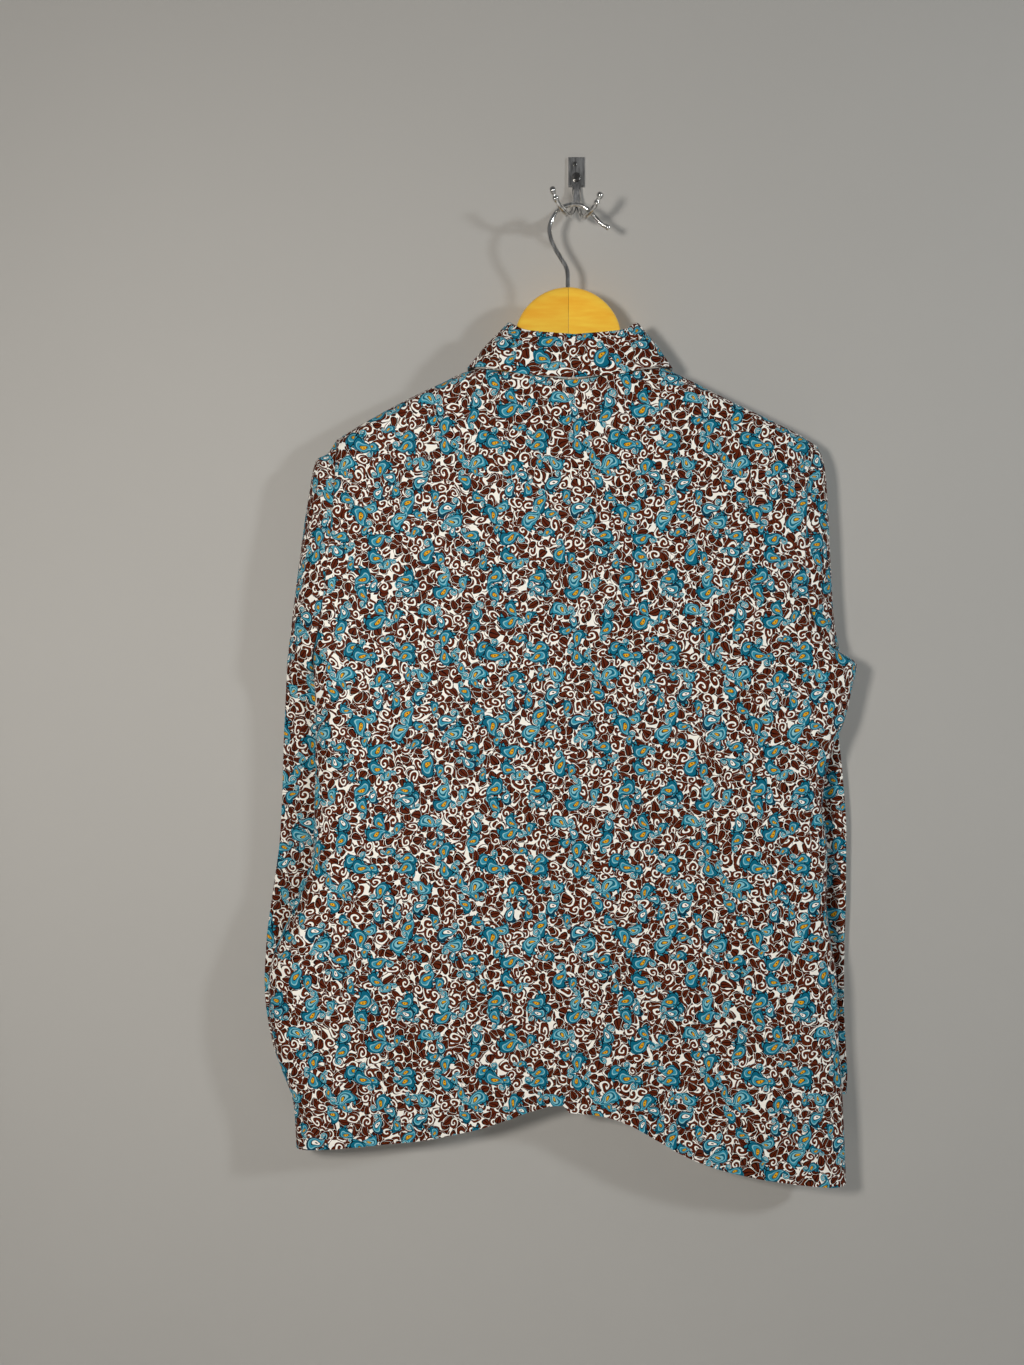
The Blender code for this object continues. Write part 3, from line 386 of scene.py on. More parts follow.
def folds(x, z):
    """How far the back's soft folds stand out at x, z."""
    total = 0
    for x0, z0, x1, z1, width, height in FOLDS:
        f = (z0 - z) / (z0 - z1)
        if 0 < f < 1:
            off = (x - blend(x0, x1, f)) / width
            total += height * step(min(f, 1 - f) * 4) * 2.718 ** (-off * off)
    return total * step(side_gap(x, z) / FOLD_SIDE) * step((FOLD_TOP - z) / TOP_FADE)


def back_y(x, z):
    """Middle of the back's cloth."""
    return middle_y(x, z) - half_depth(x, z, TOP_BACK) - folds(x, z) - SEAM / 2


def front_y(x, z):
    """Middle of the fronts' cloth."""
    return middle_y(x, z) + half_depth(x, z, TOP_FRONT) + SEAM / 2


def edge_facing(z, edge):
    """Direction that the armhole seam faces at height z."""
    slope = (edge_x(edge, z - 2) - edge_x(edge, z + 2)) / -4
    return 1, 0, -slope


def panel_seam(top, left, right, last):
    """Rim directions of a body panel between two edges, whose last column is given."""
    def facing(j, i, point):
        edge = left if i == 0 else right
        if i in (0, last) and edge[1]:
            if point.z > edge[1] and j > 0:
                return edge_facing(point.z, edge)
            return 0, 1, 0
        if j == 0 and abs(point.x - NECK_X) < NECK_HALF - 0.1:
            rise = value_at(top, point.x + 1) - value_at(top, point.x - 1)
            return -rise / 2, 0, 1
        if j == 0:
            return 0, 1, 0
        return None
    return facing


def armhole(w, edge, side):
    """Point of the armhole seam at share w from shoulder tip to armpit."""
    z = blend(edge[0][0][0], edge[1], w)
    x = edge_x(edge, z)
    gap = (SEAM + 0.1) * hypot(1, edge_facing(z, edge)[2]) + 1.2 * step((w - 0.8) / 0.2)
    return x + side * gap, middle_y(x, z), z


def clear_y(x, z, edge, side):
    """How far to the wall a sleeve must lie to pass behind the front at x, z."""
    inside = side * (edge_x(edge, z) - x) + 1.5
    held = max(inside, 0)
    depth = front_y(edge_x(edge, z) - side * held, z)
    return depth + 2 * CLOTH + 0.6 - 10 * max(0, -inside)


def sleeve_row(table, k, around, edge, side):
    """One row of a sleeve or cuff: open at the armhole above the armpit, a ring below it."""
    w, x0, y0, z0, x1, y1, z1, depth = row_at(table, k)
    hole = 0
    if table[0][1] < 1 and k <= ARMPIT_ROW:
        x1, y1, z1 = armhole(w, edge, side)
        hole = hole_half(z1, edge)
    ring = step((w - 0.5) / 0.5)
    line = []
    for t in around:
        # 1 at the outer fold, 0 at the inner one; and how far the cloth stands off the middle
        near = blend(cos(pi * t / 2), (1 + cos(pi * t)) / 2, ring)
        bulge = hole * abs(sin(pi * t / 2)) + depth * abs(sin(pi * t)) ** 0.6
        x = blend(x1, x0, near)
        y = blend(y1, y0, near)
        z = blend(z1, z0, near)
        y += max(0, clear_y(x, z, edge, side) + bulge - y) * step(k - ARMPIT_ROW)
        if t < 0:
            y = y - bulge
        else:
            z += 0.7 * bulge * (1 - near) * max(0, 1 - abs(k - ARMPIT_ROW - 0.7) / 2.3) * ring
            y = min(y + bulge, max(SLEEVE_BACK_LIMIT, y - bulge + 2 * CLOTH))
        if k < 1 and table[0][1] < 1:
            # the first rows come out of the top of the armhole
            turn = acos(1 - 2 * w) * t
            x2, y2, z2 = armhole((1 - cos(turn)) / 2, edge, side)
            y2 += hole_half(z2, edge) * (1 if t > 0 else -1)
            x = blend(x2, x, k)
            y = blend(y2, y, k)
            z = blend(z2, z, k)
        line.append((x, y, z))
    return line


def neck_point(turn, side):
    """Point of the neck seam; turn 0 is the centre back and 1 the centre front."""
    x = NECK_X + side * NECK_HALF * sin(pi * turn)
    top, way = (TOP_BACK, -1) if turn <= 0.5 else (TOP_FRONT, 1)
    z = value_at(top, x)
    return x, middle_y(x, z) + way * neck_half(x), z


def fold_point(turn, side):
    """Point of the collar's fold line."""
    wide = sin(pi * turn)
    deep = NECK_DEPTH * flat_round(wide) * (-1 if turn < 0.5 else 1)
    return FOLD_X + side * FOLD_HALF * wide, BODY_Y + deep, value_at(FOLD_Z, turn)


# ---------------------------------------------------------------- creases placed one by one
# back and fronts: x, z at one end; x, z at the other; half width; height; 1 pinched, 0 soft
BACK_CREASES = (
    (-214, -548, -208, -700, 5, 1.5, 1),
    (-206, -560, -198, -690, 7, -1.2, 0),
    (62, -545, 70, -720, 6, 1.4, 1),
    (71, -560, 79, -700, 7, -1.3, 0),
    (150, -690, 195, -700, 4, 1, 1),
    (-235, -470, -180, -380, 6, 1.6, 1),
    (-238, -492, -165, -452, 6, 1.4, 1),
    (-240, -520, -190, -560, 6, 1.2, 1),
    (236, -475, 168, -400, 6, 1.6, 1),
    (240, -492, 172, -462, 6, 1.4, 1),
    (238, -512, 190, -565, 6, 1.3, 1),
    (-212, -290, -196, -420, 7, 1.2, 0),
    (196, -300, 184, -420, 7, 1.2, 0),
    (-150, -720, -172, -930, 12, 1.3, 0),
    (-110, -740, -120, -930, 14, 1.1, 0),
    (98, -740, 120, -950, 13, 1.3, 0),
    (170, -760, 200, -975, 12, 1.4, 0),
    (-30, -780, -24, -900, 9, 0.8, 0),
    (-262, -640, -230, -700, 6, 1, 1),
    (-280, -760, -240, -800, 6, 1, 1),
    (236, -640, 200, -668, 6, 1, 1))
SLEEVE_CREASES = (
    (-262, -330, -258, -455, 5, 1, 0),
    (-272, -500, -262, -600, 5, 1.2, 1),
    (-287, -600, -262, -660, 5, 1.2, 1),
    (-292, -655, -268, -640, 5, 1, 1),
    (-300, -800, -240, -770, 6, 1, 1),
    (-296, -832, -278, -780, 4, 0.9, 1),
    (-262, -836, -256, -790, 4, 0.9, 1),
    (-225, -836, -228, -795, 4, 0.9, 1),
    (260, -600, 235, -640, 5, 1, 1),
    (262, -700, 236, -680, 5, 1, 1),
    (256, -842, 250, -790, 4, 0.9, 1),
    (225, -844, 228, -800, 4, 0.9, 1),
    (-254, -505, -257, -745, 6.5, -4.6, 0),
    (-253, -655, -300, -800, 6.5, -4.2, 0),
    (241, -545, 243, -775, 6.5, -4.6, 0),
    (242, -680, 256, -880, 6.5, -4, 0))


def relief(table, x, z):
    """How far the creases of a table stand out at x, z."""
    total = 0
    for x0, z0, x1, z1, width, height, pinched in table:
        dx, dz = x1 - x0, z1 - z0
        long = hypot(dx, dz)
        f = ((x - x0) * dx + (z - z0) * dz) / long ** 2
        off = abs((x - x0) * dz - (z - z0) * dx) / long / width
        if -0.05 < f < 1.05 and off < 4:
            ridge = exp(-off * off)
            if pinched:
                ridge = exp(-1.3 * off) - 0.35 * exp(-(off - 1.6) ** 2)
            total += height * ridge * step(min(f, 1 - f) * 3)
    return total


# slow undulation of hanging cloth, longer down than across: height, length across, length down,
# shift of the seed
WAVES = ((2.8, 58, 210, 0), (1.3, 24, 70, 9), (0.36, 11, 16, 21))


def sway(x, z, seed):
    """How far the waves of the hanging cloth stand out at x, z."""
    return sum(high * noise.noise(Vector((x / across, z / down, seed + shift)))
               for high, across, down, shift in WAVES)


def calm(x, z):
    """0 at the body's seams and top, 1 well inside."""
    return step(side_gap(x, z) / CREASE_SIDE) * step((CREASE_TOP - z) / TOP_FADE)


def back_skin(x, z):
    """The back's cloth with its creases."""
    still = calm(x, z)
    if not still:
        return back_y(x, z)
    return back_y(x, z) - still * (relief(BACK_CREASES, x, z) + sway(x, z, 3))


def front_skin(x, z):
    """The upper front's cloth."""
    still = calm(x, z) * 0.6
    near = step((abs(x - PLACKET_X) - PLACKET - 1) / 14)
    if still * near <= 0:
        return front_y(x, z)
    return front_y(x, z) + still * near * min(1, max(-1, sway(x, z, 40)))


def under_skin(x, z):
    """The under front's cloth; it steps in beneath the placket."""
    return front_skin(x, z) - LAP * (1 - step((x - PLACKET_X - PLACKET) / 18))


# ---------------------------------------------------------------- meshes
def placed(name, data):
    """A new object of the scene."""
    obj = bpy.data.objects.new(name, data)
    bpy.context.scene.collection.objects.link(obj)
    return obj


def shape(name, points, faces, slots, uvs=None, kinds=None, sharp=40):
    """An object from points in millimetres, smooth, with a plan of the cloth as its UVs."""
    mesh = bpy.data.meshes.new(name)
    mesh.from_pydata([tuple(c * MM for c in p) for p in points], [], faces)
    for mat in slots:
        mesh.materials.append(mat)
    if kinds:
        mesh.polygons.foreach_set("material_index", kinds)
    if uvs:
        layer = mesh.uv_layers.new(name="cut")
        layer.data.foreach_set("uv", [c for face in faces for v in face for c in uvs[v]])
    mesh.shade_smooth()
    mesh.set_sharp_from_angle(angle=sharp * pi / 180)
    mesh.update()
    return placed(name, mesh)


def edit(obj, change):
    """Change an object's mesh by a function of its bmesh."""
    work = bmesh.new()
    work.from_mesh(obj.data)
    change(work)
    work.to_mesh(obj.data)
    work.free()


def outward(grid, closed_from):
    """Unit normals of a grid of points; rows from closed_from on meet themselves."""
    rows = len(grid)
    cols = len(grid[0])
    out = []
    for j in range(rows):
        line = []
        above = grid[max(j - 1, 0)]
        below = grid[min(j + 1, rows - 1)]
        for i in range(cols):
            before = max(i - 1, 0)
            after = min(i + 1, cols - 1)
            down = below[i] - above[i]
            if j >= closed_from and i in (0, cols - 1):
                before = cols - 2
                after = 1
                down = below[0] - above[0] + below[-1] - above[-1]
            along = grid[j][after] - grid[j][before]
            line.append(along.cross(down).normalized())
        out.append(line)
    return out


def distances(row, middle, start, gap):
    """Sums of the gaps between neighbours along a row, both ways from its middle."""
    sums = [start] * len(row)
    for n in (1, -1):
        i = middle + n
        while 0 <= i < len(row):
            sums[i] = sums[i - n] + n * gap(row[i] - row[i - n])
            i += n
    return sums


def plan(grid, middle):
    """Flat plan of a grid: across from its middle column, up from its last row, in metres."""
    ups = [distances(column[::-1], 0, column[-1].z, lambda d: hypot(d.y, d.z))[::-1]
           for column in zip(*grid)]
    out = []
    for row, up in zip(grid, zip(*ups)):
        across = distances(row, middle, row[middle].x, lambda d: hypot(d.x, d.y))
        out.append([(a * MM, u * MM) for a, u in zip(across, up)])
    return out


def tube_plan(grid, middle):
    """Flat plan of a sleeve: across from its outer fold, up along the fold, in metres."""
    fold = [row[middle] for row in grid]
    up = distances(fold[::-1], 0, 0, lambda d: d.length)[::-1]
    out = []
    for j, row in enumerate(grid):
        ahead = fold[max(j - LOOK_AHEAD, 0)] - fold[min(j + LOOK_AHEAD, len(grid) - 1)]
        ahead.y = 0
        ahead.normalize()
        sideways = Vector((-ahead.z, 0, ahead.x))
        across = distances(row, middle, 0, lambda d: hypot(d.dot(sideways), d.y))
        out.append([(a * MM, (up[j] + (p - fold[j]).dot(ahead)) * MM) for a, p in zip(across, row)])
    return out


def band_plan(grid, middle):
    """Flat plan of a collar: along its middle row, up its columns, in metres."""
    along = distances(grid[len(grid) // 2], middle, 0, lambda d: d.length)
    up = [0] * len(along)
    out = [[(a * MM, 0) for a in along]]
    for above, row in zip(grid, grid[1:]):
        up = [u - (p - q).length for u, p, q in zip(up, row, above)]
        out.append([(a * MM, u * MM) for a, u in zip(along, up)])
    return out


# where each piece is cut from the printed cloth: across, up, in metres
CUT_AT = {
    "shirt_back": (0, 0),
    "shirt_front_left": (0.047, 0.083),
    "shirt_front_right": (0.091, 0.037),
    "shirt_sleeve_left": (0.028, 0.061),
    "shirt_sleeve_right": (0.073, 0.118),
    "shirt_cuff_left": (0.015, 0.022),
    "shirt_cuff_right": (0.059, 0.094),
    "shirt_collar_stand": (0.033, 0.15),
    "shirt_collar_fall": (0.082, 0.044),
}


def cloth(name, grid, wall, slots, plane, closed_from=None, seam=None, flip=False):
    """A thin shell on both sides of a grid; slots are its face and its reverse."""
    rows = len(grid)
    cols = len(grid[0])
    closed_from = rows if closed_from is None else closed_from
    out = outward(grid, closed_from)
    for j, row in enumerate(grid):
        for i, point in enumerate(row):
            facing = seam(j, i, point) if seam else None
            if facing:
                facing = Vector(facing).normalized()
                out[j][i] = (out[j][i] - facing * out[j][i].dot(facing)).normalized()
    cut = CUT_AT[name]
    points = []
    uvs = []
    for side in (0.5, -0.5):
        for row, normals, flat in zip(grid, out, plane):
            points += [p + n * wall * side for p, n in zip(row, normals)]
            uvs += [(across + cut[0], up + cut[1]) for across, up in flat]
    faces = []
    kinds = []
    half = rows * cols
    for j in range(rows - 1):
        for i in range(cols - 1):
            a, b = j * cols + i, j * cols + i + 1
            c, d = b + cols, a + cols
            faces += [(d, c, b, a), (half + a, half + b, half + c, half + d)]
            kinds += [1, 0] if flip else [0, 1]
    for j in (0, rows - 1):
        for i in range(cols - 1):
            a, b = j * cols + i, j * cols + i + 1
            rim = (a, b, half + b, half + a)
            faces.append(rim if j == 0 else rim[::-1])
            kinds.append(0)
    for j in range(min(rows - 1, closed_from)):
        for i in (0, cols - 1):
            a, b = j * cols + i, (j + 1) * cols + i
            rim = (a, half + a, half + b, b)
            faces.append(rim if i == 0 else rim[::-1])
            kinds.append(0)
    obj = shape(name, points, faces, slots, uvs, kinds, 60)
    if closed_from < rows:
        edit(obj, lambda work: bmesh.ops.remove_doubles(
            work, verts=[v for v in work.verts if v.is_boundary], dist=TOUCH * MM))
    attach(obj, "root")
    return obj


def row_places(table, per):
    """Row positions of a sleeve table, each gap cut into parts."""
    return [k / per for k in range(table[-1][0] * per + 1)]


def spaced(first, last, count):
    """Evenly spaced values, both ends included."""
    return [blend(first, last, k / (count - 1)) for k in range(count)]


# grid columns beside an edge and rows under the top, in mm; then shares of a panel's height
EDGE_STEPS = (0, 0.25, 0.8, 1.7, 3.2, 5.2, 8, 11.5, 16, 20.5, 25, 30)
TOP_STEPS = (0, 0.35, 1, 2.1, 3.6, 5.6, 8, 11, 14)
HEM_ROWS = (0.98, 0.984, 0.9858, 0.9866, 0.9874, 0.9892, 0.993, 0.997, 1)
ROWS = spaced(0.006, 0.976, 168) + list(HEM_ROWS)
HEM_STITCH = 0.9866    # share of the panel's height at the hem's stitching
HEM_FROM = 0.97
HEM_GROOVE = 0.4       # depth of the stitching's groove, and half width of it as a share
HEM_GROOVE_HALF = 0.001
HEM_FULL = 0.25        # how much fuller the turned-up hem is
SPACED_Z = -262        # heights at which a panel's columns find its top and its hem
HEM_Z = -940
KEEL_ROW = 60          # row at which a panel's plan finds its middle column


def panel(top, hem_rise, left, right, depth):
    """Grid of a body panel between two edges; an edge with no armpit is a lap."""
    inset = [EDGE_STEPS[-1] if edge[1] else 0 for edge in (left, right)]
    first = edge_x(left, SPACED_Z) + inset[0]
    last = edge_x(right, SPACED_Z) - inset[1]
    shares = [(x - first) / (last - first) for x in between(first, last, FINE)]
    # a column: share of the way across, and a distance beside it
    columns = [(0, s) for s in (EDGE_STEPS if left[1] else (0,))]
    columns += [(f, blend(inset[0], -inset[1], f)) for f in shares]
    columns += [(1, -s) for s in reversed(EDGE_STEPS if right[1] else (0,))]

    def place(column, z):
        return blend(edge_x(left, z), edge_x(right, z), column[0]) + column[1]

    tops = [value_at(top, place(column, SPACED_Z)) for column in columns]
    hems = [value_at(HEM, place(column, HEM_Z)) for column in columns]
    grid = []
    # a row: share of the way down, from a distance under the top
    for f, drop in [(0, t) for t in TOP_STEPS] + [(f, TOP_STEPS[-1]) for f in ROWS]:
        line = []
        for column, high, low in zip(columns, tops, hems):
            z = blend(high - drop, low, f) + hem_rise * f ** 3
            x = place(column, z)
            y = depth(x, z)
            if f > HEM_FROM:
                groove = exp(-((f - HEM_STITCH) / HEM_GROOVE_HALF) ** 2)
                full = step((f - HEM_STITCH) / 0.002) * HEM_FULL
                y += (HEM_GROOVE * groove - full) * (1 if y < BODY_Y else -1)
            line.append(Vector((x, y, z)))
        grid.append(line)
    return grid


def between(first, last, size):
    """Values between two ends, ends left out, about a size apart."""
    count = max(2, round(abs(last - first) / size) + 1)
    return spaced(first, last, count)[1:-1]


def build_body(slots):
    """Back and both fronts."""
    pieces = []
    for name, top, rise, left, right, skin, keel in (
            ("back", TOP_BACK, 0, LEFT_EDGE, RIGHT_EDGE, back_skin, PLACKET_X),
            ("front_left", TOP_FRONT, FRONT_HEM_RISE, LEFT_EDGE, lap(LAP_LEFT), front_skin,
             LAP_LEFT),
            ("front_right", TOP_FRONT, FRONT_HEM_RISE, lap(LAP_RIGHT), RIGHT_EDGE, under_skin,
             LAP_RIGHT)):
        grid = panel(top, rise, left, right, skin)
        last = len(grid[0]) - 1
        middle = min(range(last + 1), key=lambda i: abs(grid[KEEL_ROW][i].x - keel))
        pieces.append(cloth("shirt_" + name, grid, CLOTH, slots, plan(grid, middle),
                            seam=panel_seam(top, left, right, last), flip=name == "back"))
    return pieces


def build_sleeves(slots):
    """Sleeves and cuffs."""
    around = spaced(-1, 1, AROUND)
    pieces = []
    for name, table, edge, side, wall in (
            ("sleeve_left", SLEEVE_LEFT, LEFT_EDGE, -1, CLOTH),
            ("sleeve_right", SLEEVE_RIGHT, RIGHT_EDGE, 1, CLOTH),
            ("cuff_left", CUFF_LEFT, LEFT_EDGE, -1, BAND),
            ("cuff_right", CUFF_RIGHT, RIGHT_EDGE, 1, BAND)):
        sewn = table[0][1] < 1
        closed = ARMPIT_ROW * SLEEVE_PARTS if sewn else 0
        grid = []
        for k in row_places(table, SLEEVE_PARTS if sewn else CUFF_PARTS):
            line = [Vector(p) for p in sleeve_row(table, k, around, edge, side)]
            for t, p in zip(around, line):
                # creases fade beside the armhole and at the folds, and are low on the wall's side
                gap = abs(p.x - edge_x(edge, p.z)) if p.z > edge[1] - 20 else 40
                still = step((gap - 2) / 14) * step(abs(sin(pi * t)) * 2.5)
                if sewn and still > 0:
                    rise = relief(SLEEVE_CREASES, p.x, p.z) + 0.4 * sway(p.x, p.z, 60)
                    if t < 0:
                        p.y -= still * rise
                    else:
                        p.y += still * min(0.8, max(-0.8, rise)) * (p.y < -4)
            grid.append(line)

        def facing(j, i, point):
            if sewn and (j == 0 or (j < closed and i in (0, len(around) - 1))):
                return edge_facing(point.z, edge)
            if j in (0, len(grid) - 1):
                return 0, 0, 1
            return None

        pieces.append(cloth("shirt_" + name, grid, wall, slots, tube_plan(grid, len(around) // 2),
                            closed_from=closed, seam=facing, flip=side > 0))
    return pieces


def collar_turns():
    """Turns around the collar: side and share, from the left front end to the right front end."""
    half = [asin(f) / pi for f in NECK_STEPS]
    half += [1 - t for t in reversed(half[1:-1])] + [0.985]
    thin = []
    for a, b in zip(half, half[1:]):
        thin += [blend(a, b, k / TURN_PARTS) for k in range(TURN_PARTS)]
    thin.append(half[-1])
    return [(-1, t) for t in reversed(thin)] + [(1, t) for t in thin[1:]]


def build_collar(slots):
    """Stand and fall."""
    turns = collar_turns()
    stand = []
    for f in spaced(0, 1, STAND_ROWS):
        line = []
        for side, turn in turns:
            low = Vector(neck_point(turn, side)) + Vector((0, 0, 1))
            line.append(low.lerp(Vector(fold_point(turn, side)), f))
        stand.append(line)
    section = [FALL_SECTION[0]]
    for a, b in zip(FALL_SECTION, FALL_SECTION[1:]):
        parts = 3 if b[0] < 0.1 else 6
        for k in range(1, parts + 1):
            section.append(tuple(blend(p, q, k / parts) for p, q in zip(a, b)))
    fall = []
    for f, far, up in section:
        line = []
        for side, turn in turns:
            top = Vector(fold_point(turn, side))
            x_left, x_right, y, z = row_at(FALL_EDGE, turn)
            edge = Vector((x_left if side < 0 else x_right, y, z))
            wide = sin(pi * turn)
            deep = flat_round(wide) ** 2 / NECK_DEPTH * (-1 if turn < 0.5 else 1)
            out = Vector((side * wide ** 2 / FOLD_HALF, deep, 0)).normalized()
            line.append(top.lerp(edge, f) + out * far + Vector((0, 0, up)))
        fall.append(line)
    middle = len(turns) // 2
    rims = (0, len(stand) - 1)
    return [cloth("shirt_collar_stand", stand, BAND, slots, band_plan(stand, middle),
                  seam=lambda j, i, p: (0, 0, 1) if j in rims else None, flip=True),
            cloth("shirt_collar_fall", fall, CLOTH + 0.2, slots, band_plan(fall, middle),
                  flip=True)]


# ---------------------------------------------------------------- hanger, hooks and buttons
def tube(name, rings, slots, sharp=40, ride=True):
    """A closed solid through rings of points, capped at both ends."""
    count = len(rings[0])
    points = [p for ring in rings for p in ring]
    faces = [tuple(range(count)), tuple(range(len(points) - count, len(points)))]
    for j in range(len(rings) - 1):
        for i in range(count):
            k = (i + 1) % count
            faces.append((j * count + i, j * count + k, (j + 1) * count + k, (j + 1) * count + i))
    obj = shape(name, points, faces, slots, sharp=sharp)
    outside(obj)
    if ride:
        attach(obj, "root")
    return obj


def outside(obj):
    """Turn all faces outward."""
    edit(obj, lambda work: bmesh.ops.recalc_face_normals(work, faces=work.faces))


def smooth_path(rows, parts):
    """A path through rows of equal length, each gap cut into parts."""
    out = []
    for n in range(len(rows) - 1):
        p0 = rows[max(n - 1, 0)]
        p1, p2 = rows[n], rows[n + 1]
        p3 = rows[min(n + 2, len(rows) - 1)]
        for k in range(parts):
            f = k / parts
            out.append(tuple(
                0.5 * (2 * b + (c - a) * f + (2 * a - 5 * b + 4 * c - d) * f * f
                       + (3 * b - a - 3 * c + d) * f ** 3)
                for a, b, c, d in zip(p0, p1, p2, p3)))
    out.append(tuple(rows[-1]))
    return out


def rod(name, path, sides, up, slots, ride=True):
    """A round rod; each path row is x, y, z, radius."""
    turns = [2 * pi * i / sides for i in range(sides)]
    rings = []
    for n, row in enumerate(path):
        before = Vector(path[max(n - 1, 0)][:3])
        after = Vector(path[min(n + 1, len(path) - 1)][:3])
        ahead = (after - before).normalized()
        across = ahead.cross(Vector(up)).normalized()
        over = across.cross(ahead)
        centre = Vector(row[:3])
        rings.append([centre + (across * cos(a) + over * sin(a)) * row[3] for a in turns])
    return tube(name, rings, slots, ride=ride)


def hanger_ring(side, reach, top, bottom, thick, sides=28):
    """Section of a hanger arm at a distance from the middle: a rounded bar."""
    x = HANGER_X + side * (reach + SEAM / 2)
    y = HANGER_Y + HANGER_BEND * reach / HANGER_REACH
    points = []
    for n in range(sides):
        a = 2 * pi * (n + 0.5) / sides
        wide = copysign(abs(cos(a)) ** 0.6, cos(a))
        tall = copysign(abs(sin(a)) ** 0.5, sin(a))
        points.append((x, y + thick * wide, (top + bottom) / 2 + (top - bottom) / 2 * tall))
    return points


def combine(obj, other, how):
    """Join or cut one object with another, which is then removed."""
    mod = obj.modifiers.new(how.lower(), "BOOLEAN")
    mod.operation = how
    mod.solver = "EXACT"
    mod.object = other
    graph = bpy.context.evaluated_depsgraph_get()
    graph.update()
    obj.data = bpy.data.meshes.new_from_object(obj.evaluated_get(graph))
    obj.modifiers.clear()
    bpy.data.objects.remove(other)
    obj.data.shade_smooth()
    obj.data.set_sharp_from_angle(angle=35 * pi / 180)


def build_hanger(wood_left_painted_shade, wood_right, chrome):
    """Both wooden arms and the wire hook."""
    pieces = []
    for name, side, wood in (("arm_left", -1, wood_left_painted_shade), ("arm_right", 1, wood_right)):
        rings = []
        for turn in spaced(0, DOME_SWEEP, 15):
            a = pi * turn / 180
            rings.append(hanger_ring(side, DOME_R * sin(a), DOME_Z + DOME_R * cos(a),
                                     DOME_BOTTOM - 8 * sin(a) ** 2, HANGER_ARM[0][3]))
        rings += [hanger_ring(side, *row) for row in smooth_path(HANGER_ARM, 4)]
        arm = tube("hanger_" + name, rings, [wood])
        bore = [(WIRE[0][0], HANGER_Y, z, WIRE_R + BORE_GAP) for z in BORE_Z]
        combine(arm, rod("bore", bore, 24, (0, 1, 0), [wood], ride=False), "DIFFERENCE")
        pieces.append(arm)
    path = smooth_path([(x, HANGER_Y, z, WIRE_R) for x, z in WIRE], 4)
    tip = Vector(path[-1][:3])
    ahead = (tip - Vector(path[-2][:3])).normalized()
    path += [(*(tip + ahead * d), r) for d, r in WIRE_BALL]
    return pieces + [rod("hanger_wire", path, 24, (0, 1, 0), [chrome])]


def block(name, size, centre, bevel, slots):
    """A box whose front edges are bevelled."""
    work = bmesh.new()
    bmesh.ops.create_cube(work, size=1)
    for v in work.verts:
        v.co = Vector([c * s + m for c, s, m in zip(v.co, size, centre)])
    front = [e for e in work.edges if all(v.co.y < centre[1] for v in e.verts)]
    bmesh.ops.bevel(work, geom=front, offset=bevel, segments=4, affect="EDGES")
    work.verts.index_update()
    points = [tuple(v.co) for v in work.verts]
    faces = [tuple(v.index for v in f.verts) for f in work.faces]
    work.free()
    obj = shape(name, points, faces, slots, sharp=25)
    outside(obj)
    return obj


def disc(name, centre, radius, thick, rim, sides, slots):
    """A round disc along Y with a softened front rim."""
    x, y, z = centre
    way = 1 if thick > 0 else -1
    steps = [(y, radius)]
    for a in spaced(0, pi / 2, 5):
        steps.append((y + thick - way * rim * (1 - sin(a)), radius - rim * 1.2 * (1 - cos(a))))
    turns = [2 * pi * i / sides for i in range(sides)]
    rings = [[(x + r * cos(a), depth, z + r * sin(a)) for a in turns] for depth, r in steps]
    return tube(name, rings, slots, 50)


def build_wall_hook(chrome, steel):
    """Plate, stem, two prongs and the two screws."""
    hook = block("wall_hook_casting", PLATE, (0, -PLATE[1] / 2, PLATE_Z), 1.4, [chrome])
    combine(hook, block("stem", STEM, (0, -0.6 - STEM[1] / 2, STEM_Z), 2, [chrome]), "UNION")
    for path in (PRONG_LEFT, PRONG_RIGHT):
        prong = rod("prong", smooth_path(path, 3), 20, (1, 0, 0), [chrome], ride=False)
        combine(hook, prong, "UNION")
    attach(hook, "root")
    pieces = [hook]
    front = -PLATE[1] - SEAM
    for name, (x, z, radius, height, slot) in SCREWS.items():
        screw = disc(name + "_head", (x, front, z), radius, -height, height * 0.5, 32, [steel])
        if slot:
            bar = block("slot", (slot, 1.2, 3 * radius), (0, front - height, 0), 0.05, [steel])
            bar.rotation_euler = (0, pi / 4, 0)
            bar.location = (x * MM, 0, z * MM)
            combine(screw, bar, "DIFFERENCE")
        pieces.append(screw)
    return pieces


def build_buttons(slots):
    """Four-hole buttons down the front and one at each cuff."""
    places = {"button_%d" % n: (PLACKET_X, front_y(PLACKET_X, z) + WALL_HALF + SEAM, z)
              for n, z in enumerate(FRONT_BUTTONS, 1)}
    for name, (x, z) in CUFF_BUTTONS.items():
        places[name] = (x, CUFF_BUTTON_Y + SEAM, z)
    pieces = []
    for name, (x, y, z) in places.items():
        button = disc("shirt_" + name, (x, y, z), BUTTON_R, BUTTON_T, BUTTON_RIM, 40, slots)
        for dx, dz in ((-1, -1), (-1, 1), (1, -1), (1, 1)):
            path = [(x + dx * HOLE_AT, y + d, z + dz * HOLE_AT, HOLE_R) for d in (-1, 4)]
            combine(button, rod("hole", path, 10, (1, 0, 0), slots, ride=False), "DIFFERENCE")
        pieces.append(button)
    return pieces


# ---------------------------------------------------------------- materials
def new_look(name):
    """An empty material, its node tree and its shader."""
    mat = bpy.data.materials.new(name)
    mat.use_nodes = True
    return mat, mat.node_tree, mat.node_tree.nodes["Principled BSDF"]


